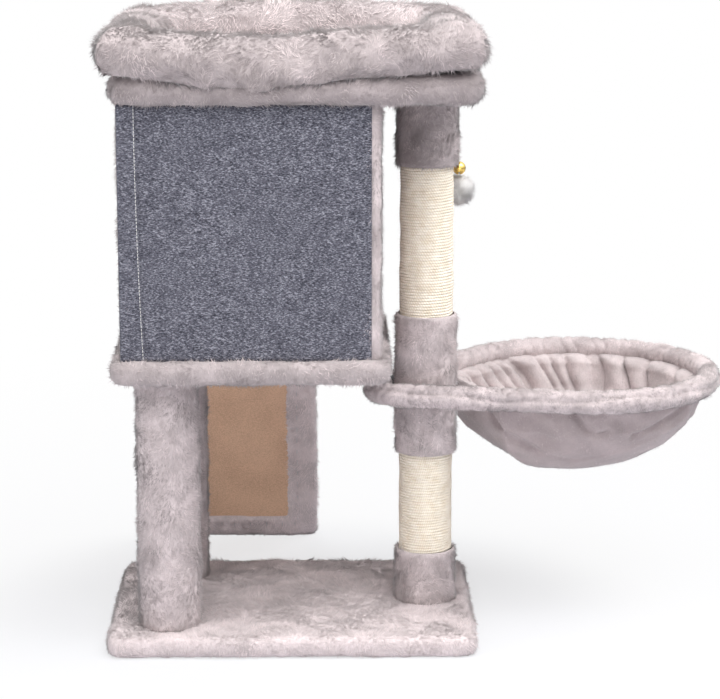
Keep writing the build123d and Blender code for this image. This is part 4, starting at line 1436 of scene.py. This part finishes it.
    def _lay_loop(self) -> None:
        """The loop's line: round the ring, along the straight sides and round the post's end."""
        flare = math.radians(self.flare)
        ring = np.linspace(math.pi / 2 + flare, -math.pi / 2 - flare, self.ring_steps)
        back = np.linspace(-math.pi / 2 - flare, -3 * math.pi / 2 + flare, self.end_steps)
        big, end = (
            np.stack([middle + radius * np.cos(angles), radius * np.sin(angles)], 1)
            for middle, radius, angles in (
                (self.ring_distance, self.ring_radius, ring), (-self.end_offset, self.end_radius, back)))
        line = np.concatenate([big, end, big[:1]])
        steps = np.linalg.norm(np.diff(line, axis=0), axis=1)
        self.run = np.concatenate([[0.0], np.cumsum(steps)])
        self.gap = self.run[len(big) + len(end) - 1] + self.opening_along
        self.line = line
        draw = np.random.default_rng(seed=85)
        self.gathers = np.cumsum(draw.uniform(*self.pucker_steps, self.puckers))
        self.pulls = draw.uniform(0.5, 1.0, self.puckers)

    def _rim_point(self, u: float, v: float) -> Vector:
        """A point of the rim's puckered tube, open where the wire's ends meet."""
        total = self.run[-1]
        span = total - self.opening
        s = (self.gap + self.opening / 2 + v * span) % total
        spot = np.array([np.interp(s, self.run, self.line[:, k]) for k in (0, 1)])
        ahead = np.array([np.interp((s + MM) % total, self.run, self.line[:, k]) for k in (0, 1)])
        way = (ahead - spot) / max(np.linalg.norm(ahead - spot), TINY)
        side = np.array([-way[1], way[0]])
        angle = u * math.tau
        end = math.sqrt(max(0.0, 1 - max(0.0, 1 - min(v, 1 - v) * span / self.rim_end) ** 2))
        away = s + self.pucker_twist * math.sin(2 * angle + self.pucker_turns * s) - self.gathers
        near = int(np.argmin(np.abs(away)))
        pucker = self.pulls[near] * math.exp(-abs(away[near]) / self.pucker_width)
        middle = self.crease_at + sum(far * math.sin(rate * s) for far, rate in self.crease_drifts)
        crease = math.exp(-((math.sin((angle - middle) / 2) / self.crease_width) ** 2))
        fullness = self.rim_fullness - self.pucker_depth * pucker - self.crease_depth * crease
        reach = self.rim_radius * end * fullness
        flat = spot + side * reach * math.cos(angle)
        return self.world(flat[0], flat[1], reach * math.sin(angle))

    def _reach(self, angle: float, inset: float) -> float:
        """How far the loop is from the ring's middle in a direction."""
        reach = self.ring_radius - inset
        beyond = abs(math.remainder(angle, math.tau)) - math.radians(90 + self.flare)
        if beyond > 0:
            reach = min(reach / math.cos(beyond), (self.ring_distance - self.hem - inset) / -math.cos(angle))
        return reach

    def wall(self, degrees: float, v: float, out: float = 0.0, lift: float = 0.0) -> Vector:
        """A point of the bowl's plain form: round it by angle, from the rim at 0 to the lowest point at 1."""
        angle = math.radians(degrees)
        span = np.interp(v, self.shares, self.spans)
        reach = self._reach(angle, np.interp(v, self.shares, self.insets) * MM) * span
        sewn = min(1.0, v / self.seam)
        reach += out * sewn * math.sqrt(span)
        along = self.ring_distance + (self.lowest - self.ring_distance) * (1 - span)
        drop = np.interp(v, self.shares, self.drops) * MM + out * (1 - span) - lift
        return self.world(along + reach * math.cos(angle), reach * math.sin(angle), -drop)

    def _lining_point(self, degrees: float, v: float) -> Vector:
        """A point of the gathered lining, drawn into puffs between its tucks."""
        slant = (degrees - self.more_skew_at) / self.more_skew_over
        skew = self.skew + self.more_skew * math.exp(-(slant**2))
        drift = self.drift * math.sin(math.radians(self.drift_waves * degrees) + self.drift_turns * v)
        drift *= min(1.0, v / self.drift_from)
        sewn = (degrees + skew * v + drift - self.tucks[0]) % 360.0 + self.tucks[0]
        number = int(np.searchsorted(self.tucks, sewn, side="right")) - 1
        start = self.tucks[number]
        width = (self.tucks[number + 1] if number + 1 < len(self.tucks) else self.tucks[0] + 360.0) - start
        puff = math.sqrt(max(0.0, 1 - (2 * (sewn - start) / width - 1) ** 2))
        height = min(self.puff_height, self.puff_share * math.radians(width) * self.ring_radius)
        height *= self.puffs[start]
        rise = min(1.0, v / self.puff_from)
        rise *= 2 - rise
        fade = 1 - self.puff_fade * min(1.0, max(0.0, v - self.fade_from) / self.fade_over)
        inward = height * puff * rise * fade * min(1.0, (1 - v) / self.closing)
        lift = self.puff_lift * max(0.0, height) * puff * rise * max(0.0, 1 - v / self.lift_over)
        filled = self.filling * min(1.0, v / self.filling_edge, (1 - v) / self.filling_edge)
        return self.wall(degrees, v, -0.5 * self.cloth - filled - inward, lift)

    def _outside_point(self, degrees: float, v: float) -> Vector:
        """A point of the outer cloth, where a second panel laps over the lower part."""
        lapped = min(1.0, max(0.0, (v - np.interp(degrees, *zip(*self.facing), 1.0, 1.0)) / self.lap_edge))
        return self.wall(degrees, v, 0.5 * self.cloth + self.lap * lapped * min(1.0, (1 - v) / self.closing))

    def _along(self, fold: Fold) -> np.ndarray:
        """Places close together along a fold."""
        angles, depths = zip(*fold.places)
        steps = np.linspace(0, len(angles) - 1, self.fold_steps * len(angles))
        knots = range(len(angles))
        return np.array([self.wall(np.interp(k, knots, angles), np.interp(k, knots, depths), 0.5 * self.cloth)
                         for k in steps])

    def _creased(self, cloth: Object) -> Object:
        """Press the folds into a layer of the bowl, all but the seam that the layers share."""
        plain = points_of(cloth.data)
        seam = plain[:, 2] > self.level - (self.drops[0] + self.seam_slack) * MM
        dent(cloth, [(self._along(fold), fold.depth, fold.width) for fold in self.folds])
        points = points_of(cloth.data)
        points[seam] = plain[seam]
        move_points(cloth.data, points)
        return cloth

    def dress(self, finishes: Finishes) -> None:
        """Put on the finishes and attach sheet and padding to the hammock."""
        place_piece(wear(self.rim, finishes.plush), Body.HAMMOCK, Slot.STUFFED, "hammock_rim")
        # The lining wears the paler velour and the outside the darker: painted light and painted shade on one
        # cloth.
        wear(self.bowl, finishes.lining, finishes.shaded_velour)
        place_piece(self.bowl, Body.HAMMOCK, Slot.PLUSH, "hammock_bowl")
        place_piece(wear(self.rim_fur, *finishes.pile), Body.HAMMOCK, Slot.STUFFED)
        place_piece(wear(self.bowl_fur, *finishes.pile), Body.HAMMOCK, Slot.PLUSH)


@dataclass
class RampMat:
    """The sisal mat on the ramp's climbing side: ribs of woven cord."""

    node: str = "ramp_sisal_mat"
    rib: float = 5.0 * MM
    roundness: float = 0.7
    edge: float = 1 / 14
    rib_cells: tuple[int, int] = (12, 5)
    heights: tuple[float, float, float] = (0.25, 0.55, 0.2)

    def build(self) -> None:
        """Lay a ribbed sheet in the mat's place."""
        flat = Flat(self.node)
        half, up = flat.half, np.sign(flat.axes[2][2])

        def place(u: float, v: float) -> Vector:
            """A point of the mat's closed skin."""
            x, y = (2 * u - 1) * half[0], (2 * v - 1) * half[1]
            rib = abs(math.sin(math.pi * x / self.rib)) ** self.roundness
            weft = 0.5 + 0.5 * math.cos(math.tau * (y / self.rib + 0.5 * round(x / self.rib)))
            edge = min(1.0, min(u, 1 - u, v, 1 - v) / self.edge)
            rise = half[2] * np.dot(self.heights, (1.0, rib, weft * rib)) * edge
            return Vector(flat.outer(np.array((x, y, up * rise))))

        cells = tuple(int(count * reach / self.rib) for count, reach in zip(self.rib_cells, half))
        mat = mapped_sheet("ramp_mat", cells, place)
        solid = mat.modifiers.new("thickness", "SOLIDIFY")
        solid.thickness, solid.offset = half[2], 0.0
        self.mat = applied(mat)
        self.size = (2 * half[0], 2 * half[1])

    def dress(self, finishes: Finishes) -> None:
        place_piece(wear(self.mat, finishes.mat), Body.STAND, Slot.SISAL, self.node)


@dataclass
class Toy:
    """A pompom and bell on a string from the top platform's screw eye."""

    top: Colour = (188 * MM, 80 * MM, 578.5 * MM)
    length: float = 81.5 * MM
    thick: float = 1.6 * MM
    core: float = 14.5 * MM
    spans: int = 5
    knot_voxel: float = 0.35 * MM
    knot_rises: tuple[tuple[float, float], ...] = ((0.05 * MM, 2 * MM),)
    ball_rises: tuple[tuple[float, float], ...] = ((0.1 * MM, 8 * MM),)
    tufts: Pile = Pile(length=5.4 * MM, width=0.7 * MM, density=1_500_000.0, lean=24.0,
                       fall=(0.0, 0.0, -0.3), sweep=16 * MM, clump=3 * MM, tone=4.8)

    def build(self) -> None:
        """Draw the string and tie the pompom."""
        curve = bpy.data.curves.new("toy_cord", "CURVE")
        curve.dimensions, curve.bevel_depth, curve.bevel_resolution = "3D", 1.0, 2
        curve.use_fill_caps = True
        line = curve.splines.new("NURBS")
        line.points.add(self.spans)
        for k, point in enumerate(line.points):
            point.co = (self.top[0], self.top[1], self.top[2] - self.length * k / self.spans, 1.0)
            point.radius = self.thick / 2
        line.order_u, line.use_endpoint_u = 3, True
        self.cord = bpy.data.objects.new("toy_cord", curve)
        bpy.context.scene.collection.objects.link(self.cord)
        knot = soft_copy("toy_knot", ("toy_loop_knot",), self.knot_voxel)
        self.knot = ruffle(knot, self.knot_rises, seed=91)
        low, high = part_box("toy_pompom")
        bm = bmesh.new()
        bmesh.ops.create_icosphere(bm, subdivisions=4, radius=self.core,
                                   matrix=Matrix.Translation((low + high) / 2))
        self.ball = ruffle(from_bmesh("pompom", bm), self.ball_rises, seed=92)
        self.yarn = self.tufts.grow("pompom_yarn", self.ball, seed=93)

    def dress(self, finishes: Finishes) -> None:
        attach(self.cord, Body.TOY.value)
        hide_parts("toy_string")
        self.cord.data.materials.append(finishes.thread)
        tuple(self.top)
        place_piece(wear(self.knot, finishes.thread), Body.TOY, Slot.STRING, "toy_loop_knot")
        place_piece(wear(self.ball, finishes.pompom[1]), Body.TOY, Slot.POMPOM, "toy_pompom")
        place_piece(wear(self.yarn, *finishes.pompom), Body.TOY, Slot.POMPOM)


@dataclass
class Hardware:
    """Boards, tubes, plugs and metal that keep their CAD form."""

    def dress(self, finishes: Finishes) -> None:
        """Give each node the finish of what it is made of."""
        by_slot = {
            Slot.BOARD.value: finishes.board, Slot.TUBE.value: finishes.card, Slot.PLUG.value: finishes.wood,
            Slot.STEEL.value: finishes.steel, Slot.DARK_STEEL.value: finishes.dark_steel,
            Slot.BELL.value: finishes.brass,
        }
        for name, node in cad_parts.items():
            for place in node.material_slots:
                if place.material is not None and place.material.name in by_slot:
                    place.material = by_slot[place.material.name]
                    log.info("%s keeps its CAD form", name)


def panels() -> list[WrappedPanel]:
    """The tree's plush-wrapped boards."""
    # The base's pile has a pale tone as painted light, since the base is lit more than the plush above it;
    # its left and far edges are painted darker, partly brushing and partly painted shade.
    base = Pile(tone=4.7, width=0.8 * MM, density=240_000.0, shade=BrushedAndShadedEdges())
    wall = Pile(density=185_000.0, width=0.88 * MM, tone=2.2)
    coarse = 5 * MM
    walls = (("left", 40, (-1.0, 0.0, 0.0)), ("right", 44, (1.0, 0.0, 0.0)), ("front", 48, (0.0, 1.0, 0.0)))
    return [
        WrappedPanel("base", ("base_plush", "base_board"), 10, base, bare_side=(0.0, 0.0, -1.0),
                     keep=Facing((0.0, 0.0, 1.0), -0.6)),
        WrappedPanel("platform", ("platform_plush", "platform_board"), 20,
                     Pile(density=135_000.0, width=0.95 * MM, tone=1.6)),
        # The top's pile has a dark tone: partly its nap, partly painted shade under the bolster's overhang.
        WrappedPanel("top", ("top_plush", "top_board"), 30,
                     Pile(density=180_000.0, width=0.9 * MM, tone=0.75),
                     voxel=coarse, keep=Facing((0.0, 0.0, -1.0), -0.6)),
        *(WrappedPanel(f"condo_{side}", (f"condo_{side}_plush", f"condo_{side}_board"), seed, wall,
                       voxel=coarse, keep=Facing(out)) for side, seed, out in walls),
        # The ramp's pile has a pale tone as painted light on its underside, which lies in the condo's shade.
        RampPanel("ramp", ("ramp_plush", "ramp_board"), 52, Pile(density=175_000.0, width=0.8 * MM, tone=5.8),
                  bare_side=(0.0, -1.0, -0.6)),
    ]


def sleeves() -> list[Sleeve]:
    """The plush posts and the collars of the rope posts."""
    wide = {"cells": (84, 90), "pile": Pile(density=285_000.0, width=0.88 * MM, lean=66.0, tone=2.0)}
    thin = {"wall": 1.9 * MM, "cells": (84, 34)}
    return [
        Sleeve("near_post", "near_plush_post_sleeve", 100, **wide),
        Sleeve("far_post", "far_plush_post_sleeve", 104, **wide),
        Sleeve("lower_foot_collar", "lower_post_foot_collar", 108, **thin),
        Sleeve("lower_head_collar", "lower_post_head_collar", 112, **thin, trimmed=True),
        Sleeve("upper_foot_collar", "upper_post_foot_collar", 116, **thin, trimmed=True),
        # The upper head collar's pile has a dark tone as painted shade under the top platform and beside the
        # condo.
        Sleeve("upper_head_collar", "upper_post_head_collar", 120, **thin,
               pile=replace(Sleeve.pile, tone=0.9)),
    ]


def windings() -> list[Winding]:
    """The sisal of the two rope posts."""
    return [
        Winding(f"{part}_rope", f"{part}_post_rope",
                (f"{part}_post_foot_collar", f"{part}_post_head_collar"), seed)
        for part, seed in (("lower", 130), ("upper", 134))
    ]


def main() -> None:
    """Build the tree's pieces in order and report them."""
    logging.basicConfig(level=logging.INFO, format="%(name)s: %(message)s")
    finishes = Finishes()
    Studio().build()
    Hardware().dress(finishes)
    parts = [Toy(), *panels(), *sleeves(), *windings(), FeltBack(), Bed(), Hammock(), RampMat()]
    for part in parts:
        part.build()
        part.dress(finishes)


if __name__ == "__main__":
    main()
